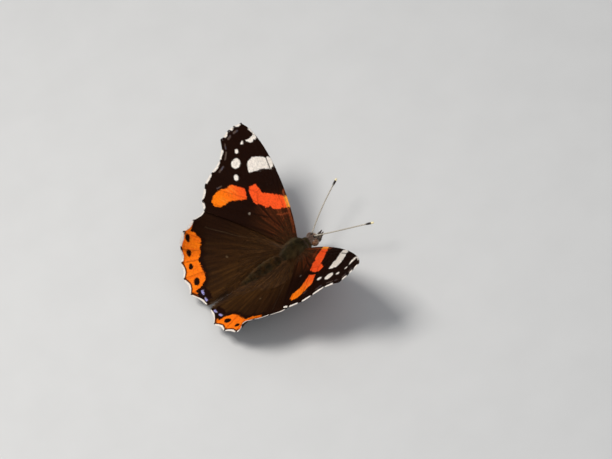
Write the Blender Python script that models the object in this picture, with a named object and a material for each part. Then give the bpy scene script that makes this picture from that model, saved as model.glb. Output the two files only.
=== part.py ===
"""Red admiral butterfly, life size, standing on four feet with its wings in a shallow V.

Lengths in this file are in millimetres and become metres when a mesh is made.  The body,
wings, head and feelers are drawn in a body frame: x is the distance out from the middle
(the butterfly's left is +X), f is forwards along the body and u is up, both measured from
the forewing hinge.  The walking legs are drawn from the floor up, because their feet lie
flat on it.
"""

import math

import bpy
import numpy as np

MM = 0.001
GAP = 0.3
UP = (0.0, 0.0, 1.0)
SHARP_ANGLE = math.radians(40.0)

# How the body stands
BODY_PITCH = math.radians(5.0)
HINGE_HEIGHT = 5.8

# Wing plates
WING_THICKNESS = 0.5
SPAN_STEPS = 12
SCALLOP_STEPS = 3
SLOPE_STEP = 0.05
PLATE_SPACING = 0.95

# Forewing plan: (x, f) of its corners and of the tips between the scallops of its outer edge
FORE_ROOT_FRONT = (2.55, 1.35)
FORE_ROOT_REAR = (2.55, -1.25)
FORE_COSTA_INNER = (7.5, 5.2)
FORE_COSTA_OUTER = (23.8, 9.7)
FORE_APEX = (28.55, 5.85)
FORE_TIPS = (
    (29.05, 3.95),
    (29.2, 2.35),
    (28.9, -0.3),
    (25.5, -3.25),
    (24.6, -6.6),
    (23.6, -9.5),
    (21.3, -12.25),
)
FORE_TORNUS = (19.4, -13.2)
FORE_SCALLOPS = (0.1, 0.14, 0.2, 0.3, 0.1, -0.05, 0.1, 0.1)
FORE_REAR_BOW = 0.5

# Forewing height: slopes, a slight droop across the span and a lift of the very tip
FORE_BASE = -1.26
FORE_RISE = 0.60
FORE_TWIST = 0.18
FORE_DROOP = 0.001
APEX_LIFT = 0.0036
APEX_LIFT_FROM = 24.0
APEX_LIFT_REAR = -1.0

# Hindwing plan, from its front edge under the forewing round to the fold by the abdomen
HIND_ROOT_FRONT = (2.55, -1.75)
HIND_ROOT_REAR = (2.55, -4.3)
HIND_COSTA_INNER = (8.0, -1.2)
HIND_COSTA_OUTER = (20.5, -7.5)
HIND_SHOULDER = (19.9, -12.7)
HIND_TIPS = (
    (18.9, -16.75),
    (17.5, -20.35),
    (15.3, -23.05),
    (13.7, -24.7),
    (10.2, -26.45),
    (5.9, -27.3),
)
HIND_ANAL_TIP = (1.1, -25.65)
HIND_SCALLOPS = (0.12, 0.1, 0.05, 0.1, 0.28, 0.46, 0.28)
HIND_FOLD = (
    (2.35, -6.2),
    (2.4, -9.0),
    (2.1, -12.0),
    (1.35, -15.0),
    (0.6, -17.3),
    (0.45, -21.7),
    (0.7, -25.1),
)

# Hindwing height: nearly flat beside the body, rising outwards, its outer corner curled up
HIND_BASE = -0.7
HIND_RISE = 0.08
HIND_CURVE = 0.012
HIND_TWIST = 0.0075
HIND_TWIST_FROM = -24.0
COVERED_FROM = -2.0
PRESS_BEND = 0.2
CURL_CENTRE = (2.0, -2.0)
CURL_LIFT = 2.7
CURL_START = 18.5
CURL_REACH = 5.5
CURL_REAR = (math.radians(-62.0), math.radians(-54.0))
CURL_FRONT = (math.radians(-44.0), math.radians(-30.0))

# Body lofts: (f, half width, half height, height of the centre)
HEAD_STATIONS = ((2.95, 0.5, 0.75, -0.7), (3.5, 0.92, 1.2, -0.68), (4.2, 0.95, 1.32, -0.65),
                 (4.75, 0.9, 1.18, -0.68), (5.1, 0.6, 0.68, -0.72))
THORAX_STATIONS = ((2.65, 1.15, 1.2, -0.65), (1.9, 1.75, 1.85, -0.52), (0.7, 2.15, 2.32, -0.32),
                   (-1.0, 2.2, 2.35, -0.25), (-2.9, 1.85, 2.0, -0.45), (-4.2, 1.0, 1.15, -0.65))
ABDOMEN_STATIONS = ((-4.55, 0.9, 1.05, -0.7), (-5.8, 1.7, 1.75, -0.72), (-8.3, 1.98, 1.98, -0.75),
                    (-11.0, 1.8, 1.82, -0.78), (-13.6, 1.25, 1.3, -0.74), (-15.6, 0.7, 0.72, -0.68),
                    (-16.7, 0.28, 0.3, -0.64))
HEAD_SECTIONS = 9
THORAX_SECTIONS = 11
ABDOMEN_SECTIONS = 22
ABDOMEN_RINGS = 7
ABDOMEN_GROOVE = 0.03
BODY_SIDES = 16

# Eyes: caps set into the sides of the head
EYE_INNER_X = 1.27
EYE_CENTRE = (4.2, -0.7)
EYE_HALF = (0.85, 0.95, 1.05)
EYE_SIDES = 14
EYE_RINGS = 5

# Mouthparts and feelers: paths of (x, f, u) points
PALP_PATH = ((0.5, 5.1, -2.1), (0.55, 5.72, -1.5), (0.48, 6.4, -0.8), (0.38, 7.35, -0.05))
PALP_WIDTHS = (0.5, 0.56, 0.54, 0.36)
PALP_HEIGHTS = (0.5, 0.6, 0.6, 0.36)
PALP_SECTIONS = 6
LIMB_SIDES = 8

# Rolled tongue: a drum with round shoulders, as shares of half its thickness and of its radius
COIL_CENTRE = (4.85, -2.72)
COIL_RADIUS = 0.62
COIL_THICKNESS = 0.56
COIL_SHOULDERS = ((-1.0, 0.72), (-0.8, 0.92), (-0.35, 1.0), (0.35, 1.0), (0.8, 0.92), (1.0, 0.72))
COIL_SIDES = 16

# Feelers: a thin shaft, then a club that swells over a short stretch and is rounded at its end
ANTENNA_PATH = ((0.75, 5.05, 0.72), (3.55, 8.9, 1.5), (6.25, 13.1, 2.15), (8.78, 17.24, 2.58))
ANTENNA_SHAFT = 0.5
ANTENNA_CLUB = 0.82
ANTENNA_TIP = 0.5
CLUB_SHARE = 0.13
CLUB_SWELL = 0.06
CLUB_ROUNDING = 0.3
ANTENNA_SECTIONS = 18
ANTENNA_SIDES = 6

# Forelegs, held folded against the chest: (x, f, u)
BRUSH_LEG_PATH = ((0.75, 2.3, -2.6), (0.95, 3.2, -3.0), (0.9, 2.9, -3.75), (0.8, 2.1, -4.1))
BRUSH_LEG_WIDTHS = (0.62, 0.6, 0.66, 0.5)
BRUSH_LEG_SECTIONS = 8

# Walking legs: the hip in the body frame, and the joints as (x, f, height above the floor)
LEG_PLANS = {
    "mid_leg": {
        "hip": (1.3, 0.5, -3.0),
        "knee": (4.7, 0.9, 4.3),
        "ankle": (7.5, 1.5, 0.85),
        "toe": (10.4, 2.4),
    },
    "hind_leg": {
        "hip": (1.2, -2.3, -2.85),
        "knee": (4.3, -4.6, 4.0),
        "ankle": (6.3, -8.4, 0.85),
        "toe": (8.1, -12.2),
    },
}
FEMUR_WIDTHS = (0.72, 0.62)
TIBIA_WIDTHS = (0.56, 0.5)
TARSUS_WIDTHS = (0.54, 0.5)
ANKLE_CUT = 0.1
HEEL_CUT = 0.35
SEGMENT_SECTIONS = 3

SIDES = (("left", 1.0), ("right", -1.0))


def smooth_step(value, low, high):
    """Runs from 0 at low to 1 at high with flat ends."""
    share = np.clip((value - low) / (high - low), 0.0, 1.0)
    return share * share * (3.0 - 2.0 * share)


# ---------------------------------------------------------------- wing surfaces

def fore_height(x, f):
    """Height of the forewing's middle surface."""
    tip = np.clip(x - APEX_LIFT_FROM, 0.0, None)
    sweep = FORE_RISE * x + FORE_TWIST * f - FORE_DROOP * x * x
    return FORE_BASE + sweep + APEX_LIFT * tip ** 2 * (f - APEX_LIFT_REAR)


def under_forewing(x, f):
    """Distance in front of the straight line along the forewing's rear edge."""
    along = np.subtract(FORE_TORNUS, FORE_ROOT_REAR)
    across = (f - FORE_ROOT_REAR[1]) * along[0] - (x - FORE_ROOT_REAR[0]) * along[1]
    return across / np.hypot(*along)


def hind_curl(x, f):
    """Lift of the hindwing's outer corner, which grows with the square of the reach."""
    reach = np.hypot(x - CURL_CENTRE[0], f - CURL_CENTRE[1])
    bearing = np.arctan2(f - CURL_CENTRE[1], x - CURL_CENTRE[0])
    window = smooth_step(bearing, *CURL_REAR) * (1.0 - smooth_step(bearing, *CURL_FRONT))
    return CURL_LIFT * np.clip((reach - CURL_START) / CURL_REACH, 0.0, 2.0) ** 2 * window


def hind_height(x, f):
    """Height of the hindwing's middle surface, which dips where the forewing covers it."""
    free = HIND_BASE + HIND_RISE * x + HIND_CURVE * x * x + HIND_TWIST * x * (f - HIND_TWIST_FROM)
    excess = free - (fore_height(x, f) - PLATE_SPACING)
    covered = smooth_step(under_forewing(x, f), COVERED_FROM, 0.0)
    pressed = 0.5 * (excess + np.hypot(excess, PRESS_BEND))
    return free - covered * pressed + hind_curl(x, f)


def bezier(start, inner, outer, end, share):
    """Points of a cubic Bezier curve in the plan."""
    share = np.asarray(share)[:, None]
    rest = 1.0 - share
    return (rest ** 3 * np.array(start) + 3 * rest ** 2 * share * np.array(inner)
            + 3 * rest * share ** 2 * np.array(outer) + share ** 3 * np.array(end))


def scalloped_edge(tips, depths):
    """Outer edge through the vein tips, with a hollow between each pair, or a bulge if negative."""
    share = np.arange(SCALLOP_STEPS) / SCALLOP_STEPS
    rows = []
    for start, end, depth in zip(tips[:-1], tips[1:], depths):
        run = np.subtract(end, start)
        inwards = np.array((run[1], -run[0])) / np.hypot(*run)
        hollow = depth * 4.0 * share * (1.0 - share)
        rows.append(np.array(start) + share[:, None] * run + hollow[:, None] * inwards)
    return np.vstack(rows + [np.array([tips[-1]])])


def smooth_path(points, count):
    """Count points on a Catmull-Rom curve through the given ones."""
    knots = np.array(points, dtype=float)
    knots = np.vstack([2 * knots[0] - knots[1], knots, 2 * knots[-1] - knots[-2]])
    place = np.linspace(0.0, len(points) - 1.0, count)
    index = np.minimum(place.astype(int), len(points) - 2)
    share = (place - index)[:, None]
    before, start, end, after = (knots[index + step] for step in range(4))
    return 0.5 * (2 * start + (end - before) * share
                  + (2 * before - 5 * start + 4 * end - after) * share ** 2
                  + (3 * start - before - 3 * end + after) * share ** 3)


def edge_shares(edge):
    """Distance along an edge as a share of its length."""
    steps = np.hypot(*np.diff(edge, axis=0).T)
    return np.concatenate([[0.0], np.cumsum(steps)]) / steps.sum()


def filled_plan(front, outer, rear):
    """Plan grid of a wing spanned between its front, outer and rear edges and its root."""
    span = np.linspace(0.0, 1.0, len(front))[:, None, None]
    chord = edge_shares(outer)[None, :, None]
    root = front[0] + chord[0] * (rear[0] - front[0])
    ruled_span = (1 - span) * root[None] + span * outer[None]
    ruled_chord = (1 - chord) * front[:, None] + chord * rear[:, None]
    corners = ((1 - span) * (1 - chord) * front[0] + (1 - span) * chord * rear[0]
               + span * (1 - chord) * front[-1] + span * chord * rear[-1])
    return ruled_span + ruled_chord - corners


def forewing_plan():
    """Plan grid of the forewing."""
    share = np.linspace(0.0, 1.0, SPAN_STEPS + 1)
    front = bezier(FORE_ROOT_FRONT, FORE_COSTA_INNER, FORE_COSTA_OUTER, FORE_APEX, share)
    outer = scalloped_edge((FORE_APEX,) + FORE_TIPS + (FORE_TORNUS,), FORE_SCALLOPS)
    rear = np.array(FORE_ROOT_REAR) + share[:, None] * np.subtract(FORE_TORNUS, FORE_ROOT_REAR)
    rear[:, 1] += FORE_REAR_BOW * np.sin(math.pi * share)
    return filled_plan(front, outer, rear)


def hindwing_plan():
    """Plan grid of the hindwing."""
    share = np.linspace(0.0, 1.0, SPAN_STEPS + 1)
    front = bezier(HIND_ROOT_FRONT, HIND_COSTA_INNER, HIND_COSTA_OUTER, HIND_SHOULDER, share)
    outer = scalloped_edge((HIND_SHOULDER,) + HIND_TIPS + (HIND_ANAL_TIP,), HIND_SCALLOPS)
    rear = smooth_path((HIND_ROOT_REAR,) + HIND_FOLD + (HIND_ANAL_TIP,), SPAN_STEPS + 1)
    return filled_plan(front, outer, rear)


# ---------------------------------------------------------------- meshes

def to_row(points, side=1.0):
    """Turns (x, f, u) points into Blender's axes, with the head towards -Y."""
    points = np.asarray(points, dtype=float)
    return np.stack([side * points[..., 0], -points[..., 1], points[..., 2]], axis=-1)


def add_object(name, vertices, faces, side, material, parent):
    """Makes one named object of a closed mesh; a mirrored one has its faces turned over."""
    if side < 0:
        faces = [tuple(reversed(face)) for face in faces]
    mesh = bpy.data.meshes.new(name)
    mesh.from_pydata((np.asarray(vertices) * MM).tolist(), [], faces)
    mesh.validate()
    mesh.shade_smooth()
    mesh.set_sharp_from_angle(angle=SHARP_ANGLE)
    mesh.materials.append(material)
    thing = bpy.data.objects.new(name, mesh)
    thing.parent = parent
    bpy.context.scene.collection.objects.link(thing)
    return thing


def make_material(name, colour, roughness):
    """A plain Principled finish."""
    material = bpy.data.materials.new(name)
    material.use_nodes = True
    shader = material.node_tree.nodes["Principled BSDF"]
    shader.inputs["Base Color"].default_value = (*colour, 1.0)
    shader.inputs["Roughness"].default_value = roughness
    shader.inputs["Metallic"].default_value = 0.0
    return material


def plate_faces(rows, columns):
    """Faces of a plate: an upper grid, a lower grid after it, and the wall between them."""
    lower = rows * columns
    faces = []
    for row in range(rows - 1):
        for column in range(columns - 1):
            corner = row * columns + column
            quad = (corner, corner + 1, corner + columns + 1, corner + columns)
            faces.append(tuple(reversed(quad)))
            faces.append(tuple(index + lower for index in quad))
    rim = list(range(columns))
    rim += [row * columns + columns - 1 for row in range(1, rows)]
    rim += [(rows - 1) * columns + column for column in range(columns - 2, -1, -1)]
    rim += [row * columns for row in range(rows - 2, 0, -1)]
    for here, there in zip(rim, rim[1:] + rim[:1]):
        faces.append((here, there, there + lower, here + lower))
    return faces


def surface_normals(height, x, f):
    """Unit normals of a height surface, from its slopes by central differences."""
    slope_x = (height(x + SLOPE_STEP, f) - height(x - SLOPE_STEP, f)) / (2 * SLOPE_STEP)
    slope_f = (height(x, f + SLOPE_STEP) - height(x, f - SLOPE_STEP)) / (2 * SLOPE_STEP)
    normal = np.stack([-slope_x, -slope_f, np.ones_like(slope_x)], axis=-1)
    return normal / np.linalg.norm(normal, axis=-1, keepdims=True)


def make_wing(name, plan, height, side, material, parent):
    """A wing plate of even thickness round the height surface over its plan."""
    x, f = plan[..., 0], plan[..., 1]
    middle = np.stack([x, f, height(x, f)], axis=-1)
    normal = surface_normals(height, x, f)
    upper = to_row(middle + 0.5 * WING_THICKNESS * normal, side)
    lower = to_row(middle - 0.5 * WING_THICKNESS * normal, side)
    vertices = np.vstack([upper.reshape(-1, 3), lower.reshape(-1, 3)])
    rows, columns = plan.shape[:2]
    return add_object(name, vertices, plate_faces(rows, columns), side, material, parent)


def swept_tube(path, widths, heights, sides, reference):
    """Closed tube of elliptical rings along a path; reference points towards a ring's height."""
    path = np.asarray(path, dtype=float)
    tangent = np.gradient(path, axis=0)
    tangent /= np.linalg.norm(tangent, axis=1, keepdims=True)
    across = np.cross(tangent, np.asarray(reference, dtype=float))
    across /= np.linalg.norm(across, axis=1, keepdims=True)
    upwards = np.cross(across, tangent)
    angle = (np.arange(sides) + 0.5) * 2.0 * math.pi / sides
    wide = np.asarray(widths)[:, None, None] * 0.5 * np.cos(angle)[None, :, None]
    tall = np.asarray(heights)[:, None, None] * 0.5 * np.sin(angle)[None, :, None]
    rings = path[:, None] + wide * across[:, None] + tall * upwards[:, None]
    vertices = np.vstack([rings.reshape(-1, 3), path[:1], path[-1:]])
    first_pole = len(path) * sides
    last_ring = (len(path) - 1) * sides
    faces = []
    for ring in range(len(path) - 1):
        for turn in range(sides):
            here = ring * sides + turn
            there = ring * sides + (turn + 1) % sides
            faces.append((here, there, there + sides, here + sides))
    for turn in range(sides):
        after = (turn + 1) % sides
        faces.append((first_pole, after, turn))
        faces.append((first_pole + 1, last_ring + turn, last_ring + after))
    return vertices, faces


def make_loft(name, stations, count, material, parent, groove=0.0):
    """A body part lofted through its stations, with optional ring grooves."""
    table = smooth_path(stations, count)
    path = np.stack([np.zeros(count), table[:, 0], table[:, 3]], axis=1)
    turns = 2.0 * math.pi * ABDOMEN_RINGS * np.linspace(0.0, 1.0, count)
    girth = 2.0 * (1.0 - groove * (1.0 + np.cos(turns)))
    vertices, faces = swept_tube(path, girth * table[:, 1], girth * table[:, 2], BODY_SIDES, UP)
    return add_object(name, to_row(vertices), faces, 1.0, material, parent)


def make_eye(name, side, material, parent):
    """Half an ellipsoid with its flat side against the head."""
    polar = np.linspace(0.5 * math.pi, 0.0, EYE_RINGS + 1)[:-1, None]
    turn = (np.arange(EYE_SIDES) * 2.0 * math.pi / EYE_SIDES)[None, :]
    x = EYE_INNER_X + EYE_HALF[0] * np.cos(polar) * np.ones_like(turn)
    f = EYE_CENTRE[0] + EYE_HALF[1] * np.sin(polar) * np.cos(turn)
    u = EYE_CENTRE[1] + EYE_HALF[2] * np.sin(polar) * np.sin(turn)
    poles = [(EYE_INNER_X, *EYE_CENTRE), (EYE_INNER_X + EYE_HALF[0], *EYE_CENTRE)]
    vertices = np.vstack([np.stack([x, f, u], axis=-1).reshape(-1, 3), poles])
    back_pole = EYE_RINGS * EYE_SIDES
    faces = []
    for step in range(EYE_SIDES):
        after = (step + 1) % EYE_SIDES
        faces.append((back_pole, step, after))
        for ring in range(EYE_RINGS - 1):
            here = ring * EYE_SIDES
            faces.append((here + step, here + step + EYE_SIDES, here + after + EYE_SIDES, here + after))
        outer = (EYE_RINGS - 1) * EYE_SIDES
        faces.append((back_pole + 1, outer + after, outer + step))
    return add_object(name, to_row(vertices, side), faces, side, material, parent)


def make_tube_part(name, path, widths, heights, sides, reference, side, material, parent):
    """A tube part given in (x, f, u) points of the left side and mirrored for the right."""
    vertices, faces = swept_tube(path, widths, heights, sides, reference)
    return add_object(name, to_row(vertices, side), faces, side, material, parent)


def make_palp(name, side, material, parent):
    """One of the two furry palps that stand up before the face."""
    path = smooth_path(PALP_PATH, PALP_SECTIONS)
    widths = smooth_path(np.array(PALP_WIDTHS)[:, None], PALP_SECTIONS)[:, 0]
    heights = smooth_path(np.array(PALP_HEIGHTS)[:, None], PALP_SECTIONS)[:, 0]
    return make_tube_part(name, path, widths, heights, LIMB_SIDES, UP, side, material, parent)


def make_proboscis(material, parent):
    """The tongue, rolled below the face into a round coil whose turns touch."""
    offsets, girths = np.array(COIL_SHOULDERS).T
    path = np.zeros((len(offsets), 3))
    path[:, 0] = 0.5 * COIL_THICKNESS * offsets
    path[:, 1:] = COIL_CENTRE
    width = 2.0 * COIL_RADIUS * girths
    return make_tube_part("proboscis", path, width, width, COIL_SIDES, UP, 1.0, material, parent)


def make_antenna(name, side, material, parent):
    """A thin shaft that ends in a small club."""
    path = smooth_path(ANTENNA_PATH, ANTENNA_SECTIONS)
    share = np.linspace(0.0, 1.0, ANTENNA_SECTIONS)
    club = smooth_step(share, 1.0 - CLUB_SHARE - CLUB_SWELL, 1.0 - CLUB_SHARE)
    tip = smooth_step(share, 1.0 - CLUB_ROUNDING * CLUB_SHARE, 1.0)
    width = ANTENNA_SHAFT + (ANTENNA_CLUB - ANTENNA_SHAFT) * club - (ANTENNA_CLUB - ANTENNA_TIP) * tip
    return make_tube_part(name, path, width, width, ANTENNA_SIDES, UP, side, material, parent)


def make_brush_leg(name, side, material, parent):
    """The short foreleg, folded below the chest and not used for walking."""
    path = smooth_path(BRUSH_LEG_PATH, BRUSH_LEG_SECTIONS)
    widths = smooth_path(np.array(BRUSH_LEG_WIDTHS)[:, None], BRUSH_LEG_SECTIONS)[:, 0]
    return make_tube_part(name, path, widths, widths, LIMB_SIDES, (1, 0, 0), side, material, parent)


def lifted(point):
    """A body-frame point as (x, f, height above the floor)."""
    x, f, u = point
    forward = f * math.cos(BODY_PITCH) - u * math.sin(BODY_PITCH)
    height = u * math.cos(BODY_PITCH) + f * math.sin(BODY_PITCH) + HINGE_HEIGHT
    return (x, forward, height)


def leg_segment(start, end, widths, shorten):
    """Straight tapering piece between two joints, cut back at its ends."""
    start, end = np.array(start), np.array(end)
    way = (end - start) / np.linalg.norm(end - start)
    path = np.linspace(start + way * shorten[0], end - way * shorten[1], SEGMENT_SECTIONS)
    return path, np.linspace(widths[0], widths[1], SEGMENT_SECTIONS)


def make_leg(prefix, plan, side_name, side, material, parent):
    """A walking leg of femur, tibia and tarsus, the tarsus lying flat on the floor."""
    flat = math.cos(math.pi / LIMB_SIDES)
    heel = (*plan["ankle"][:2], 0.5 * TARSUS_WIDTHS[0] * flat)
    toe = (*plan["toe"], 0.5 * TARSUS_WIDTHS[1] * flat)
    knee_room = 0.5 * GAP + 0.5 * TIBIA_WIDTHS[0]
    pieces = {
        "femur": leg_segment(lifted(plan["hip"]), plan["knee"], FEMUR_WIDTHS, (0.0, knee_room)),
        "tibia": leg_segment(plan["knee"], plan["ankle"], TIBIA_WIDTHS, (0.5 * GAP, ANKLE_CUT)),
        "tarsus": leg_segment(heel, toe, TARSUS_WIDTHS, (HEEL_CUT, 0.0)),
    }
    for part, (path, widths) in pieces.items():
        name = f"{prefix}_{side_name}_{part}"
        make_tube_part(name, path, widths, widths, LIMB_SIDES, UP, side, material, parent)


# ---------------------------------------------------------------- assembly

def clear_scene():
    """Removes the objects that a new file starts with."""
    for thing in list(bpy.data.objects):
        bpy.data.objects.remove(thing, do_unlink=True)


def add_empty(name, parent=None):
    """An empty that places what is parented to it."""
    empty = bpy.data.objects.new(name, None)
    empty.parent = parent
    bpy.context.scene.collection.objects.link(empty)
    return empty


def centre_over_origin(stance):
    """Moves the stance along Y so that the model's box is centred over the origin."""
    bpy.context.view_layer.update()
    meshes = [thing for thing in bpy.data.objects if thing.type == "MESH"]
    depths = [(thing.matrix_world @ vertex.co).y for thing in meshes for vertex in thing.data.vertices]
    stance.location.y = -0.5 * (min(depths) + max(depths))
    bpy.context.view_layer.update()


def build():
    """Builds the whole butterfly."""
    clear_scene()
    stance = add_empty("stance")
    carriage = add_empty("carriage", stance)
    carriage.rotation_euler.x = -BODY_PITCH
    carriage.location.z = HINGE_HEIGHT * MM

    hair = make_material("body_hair", (0.045, 0.036, 0.024), 0.85)
    fore_finish = make_material("forewing_scales", (0.020, 0.013, 0.011), 0.7)
    hind_finish = make_material("hindwing_scales", (0.045, 0.026, 0.015), 0.7)
    eye_finish = make_material("eye", (0.060, 0.026, 0.014), 0.25)
    horn = make_material("antenna", (0.020, 0.016, 0.014), 0.45)
    leg_finish = make_material("leg", (0.200, 0.125, 0.070), 0.6)
    tongue_finish = make_material("tongue", (0.090, 0.045, 0.020), 0.4)

    make_loft("head", HEAD_STATIONS, HEAD_SECTIONS, hair, carriage)
    make_loft("thorax", THORAX_STATIONS, THORAX_SECTIONS, hair, carriage)
    make_loft("abdomen", ABDOMEN_STATIONS, ABDOMEN_SECTIONS, hair, carriage, ABDOMEN_GROOVE)
    make_proboscis(tongue_finish, carriage)
    for side_name, side in SIDES:
        make_eye(f"eye_{side_name}", side, eye_finish, carriage)
        make_palp(f"palp_{side_name}", side, hair, carriage)
        make_antenna(f"antenna_{side_name}", side, horn, carriage)
        make_brush_leg(f"foreleg_{side_name}", side, hair, carriage)
        make_wing(f"forewing_{side_name}", forewing_plan(), fore_height, side, fore_finish, carriage)
        make_wing(f"hindwing_{side_name}", hindwing_plan(), hind_height, side, hind_finish, carriage)
        for prefix, plan in LEG_PLANS.items():
            make_leg(prefix, plan, side_name, side, leg_finish, stance)
    centre_over_origin(stance)


build()
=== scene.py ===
"""Looks of a life-size red admiral butterfly, standing with its wings in a shallow V.

Lengths are in millimetres and become metres when a mesh is made.  The body, wings and feelers are drawn
in a body frame of three numbers: the distance out from the middle of the back (the butterfly's own left
is +X), the distance forwards along the body, and the height, all measured from the forewing hinge.
"Outwards", "upper" and "under" are the wing's own.
"""

import logging
import math
from abc import ABC, abstractmethod
from collections.abc import Callable, Sequence
from dataclasses import dataclass, replace
from enum import Enum
from functools import cache
from itertools import product

import bpy
import numpy as np
from mathutils import Matrix

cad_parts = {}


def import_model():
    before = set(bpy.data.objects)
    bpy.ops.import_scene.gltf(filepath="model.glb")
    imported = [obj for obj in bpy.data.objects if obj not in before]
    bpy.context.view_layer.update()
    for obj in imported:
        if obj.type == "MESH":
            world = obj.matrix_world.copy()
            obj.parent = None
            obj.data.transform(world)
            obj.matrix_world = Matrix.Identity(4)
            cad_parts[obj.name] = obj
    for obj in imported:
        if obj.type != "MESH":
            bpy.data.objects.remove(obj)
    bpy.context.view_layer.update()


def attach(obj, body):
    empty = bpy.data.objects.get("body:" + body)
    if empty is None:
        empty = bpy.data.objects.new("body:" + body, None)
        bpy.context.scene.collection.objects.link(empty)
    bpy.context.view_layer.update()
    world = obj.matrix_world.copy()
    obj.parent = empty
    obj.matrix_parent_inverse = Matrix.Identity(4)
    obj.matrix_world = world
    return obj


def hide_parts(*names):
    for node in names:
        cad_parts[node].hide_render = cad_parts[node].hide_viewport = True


Array = np.ndarray
Point = tuple[float, ...]
Points = tuple[Point, ...]
Arrays = tuple[Array, ...]
Size = Array | float
Carry = Callable[[Array], Array]
Material = bpy.types.Material
Socket = bpy.types.NodeSocket
Inputs = dict[str | int, object]

MM = 0.001
TURN = 2.0 * math.pi
GOLDEN_TURN = 0.6180339887
# Side of a tuft's own patch on the unwrap.
PATCH = 0.003
# Where skin and scales start behind a wing's front edge and end before its rear edge.
RIM = (0.004, 0.996)
# Steps on each run of a wing's outer edge.
RUN_STEPS = 12
PIGMENT = "pigment"
COAT_MAP = "OFBake"

log = logging.getLogger("red_admiral")


class Named(Enum):
    """A choice whose name the names of pieces and nodes hold."""

    @property
    def label(self) -> str:
        """The name in small letters."""
        return self.name.lower()


class Side(Named):
    """The butterfly's own left or right."""

    LEFT = 1.0
    RIGHT = -1.0


class Face(Named):
    """The upper or the under side of a wing."""

    UPPER = 1.0
    UNDER = -1.0


def pigment(red: int, green: int, blue: int) -> Array:
    """Turn a screen colour, 0 to 255, into linear light: a power of 2.4, straight where it is dark."""
    share = np.array([red, green, blue]) / 255.0
    return np.where(share <= 0.04045, share / 12.92, ((share + 0.055) / 1.055) ** 2.4)


class Hue:
    """Every pigment of the butterfly."""

    soot = pigment(27, 10, 4)
    umber = pigment(43, 23, 9)
    chestnut = pigment(94, 43, 20)
    bronze = pigment(82, 53, 22)
    olive = pigment(64, 56, 33)
    vermilion = pigment(248, 86, 34)
    orange = pigment(252, 122, 14)
    amber = pigment(246, 160, 62)
    chalk = pigment(232, 223, 213)
    ivory = pigment(236, 226, 190)
    lilac = pigment(158, 154, 214)
    mist = pigment(148, 134, 120)
    fawn = pigment(112, 94, 84)
    slate = pigment(104, 98, 108)
    sand = pigment(158, 132, 98)
    tan = pigment(150, 112, 74)
    rose = pigment(226, 92, 84)
    azure = pigment(96, 132, 190)
    horn = pigment(40, 28, 22)
    rust = pigment(152, 70, 36)


# ---- formulas


def ramp(value: Array, low: float, high: float) -> Array:
    """Run from 0 at low to 1 at high with flat ends: three squares less two cubes of the share."""
    share = np.clip((value - low) / (high - low), 0.0, 1.0)
    return share * share * (3.0 - 2.0 * share)


def bell(gap: Array, half: float) -> Array:
    """Fall from 1 at no gap in a bell curve: e to the power of minus the square of gap over half."""
    return np.exp(-((gap / half) ** 2))


def unit(ways: Array) -> Array:
    """Scale each direction to a length of one."""
    return ways / np.linalg.norm(ways, axis=-1, keepdims=True)


def swung(ways: Array, normals: Array, angle: Array) -> Array:
    """Turn each direction about its normal by an angle in radians."""
    return ways * np.cos(angle)[:, None] + np.cross(normals, ways) * np.sin(angle)[:, None]


def run_up(path: Array) -> Array:
    """Give the length of a path from its start up to each of its points."""
    return np.concatenate([[0.0], np.cumsum(np.linalg.norm(np.diff(path, axis=0), axis=1))])


def curve_at(knots: Sequence[Point] | Array, place: Array) -> Array:
    """Read a Catmull-Rom curve: a cubic through every knot, its slope there the neighbours' chord.

    Args:
        knots: The points that the curve passes through.
        place: Where to read it, from 0 at the first knot to the count less one at the last.

    Returns:
        One row of coordinates for each place.
    """
    knots = np.asarray(knots, dtype=float)
    last = len(knots) - 2
    knots = np.vstack([2 * knots[0] - knots[1], knots, 2 * knots[-1] - knots[-2]])
    index = np.clip(np.floor(place).astype(int), 0, last)
    share = (place - index)[..., None]
    before, start, end, after = (knots[index + step] for step in range(4))
    return 0.5 * (
        2 * start
        + (end - before) * share
        + (2 * before - 5 * start + 4 * end - after) * share**2
        + (3 * start - before - 3 * end + after) * share**3
    )


def smooth_path(knots: Sequence[Point] | Array, count: int) -> Array:
    """Read count evenly spaced places of the Catmull-Rom curve through the knots."""
    return curve_at(knots, np.linspace(0.0, len(knots) - 1.0, count))


def even_path(knots: Sequence[Point] | Array, count: int) -> Array:
    """Read the curve through the knots at places equally far apart along it.

    Args:
        knots: The points that the curve passes through.
        count: How many places.

    Returns:
        One row of coordinates for each place.
    """
    fine = smooth_path(knots, 8 * count)
    steps = run_up(fine)
    even = np.linspace(0.0, steps[-1], count)
    return np.column_stack([np.interp(even, steps, axis) for axis in fine.T])


def value_noise(places: Array, seed: int) -> Array:
    """Give a smooth random field: a random number at each whole place, joined by smooth steps.

    Args:
        places: One row of coordinates for each reading, one field bump being one unit wide.
        seed: Which field.

    Returns:
        Numbers from 0 to 1.
    """
    cell = np.floor(places).astype(np.int64)
    share = ramp(places - cell, 0.0, 1.0)
    primes = np.array([374761393, 668265263, 2147483647][: places.shape[-1]], dtype=np.int64)
    total = np.zeros(places.shape[:-1])
    for corner in product((0, 1), repeat=places.shape[-1]):
        mix = ((cell + corner) * primes).sum(-1) + seed * 1013904223
        mix = (mix ^ (mix >> 13)) * 1274126177 & 0xFFFFFFFF
        mix = (mix ^ (mix >> 16)) * 974634777 & 0xFFFFFFFF
        weight = np.where(corner, share, 1.0 - share).prod(-1)
        total += weight * (mix / 0xFFFFFFFF)
    return total


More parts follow.
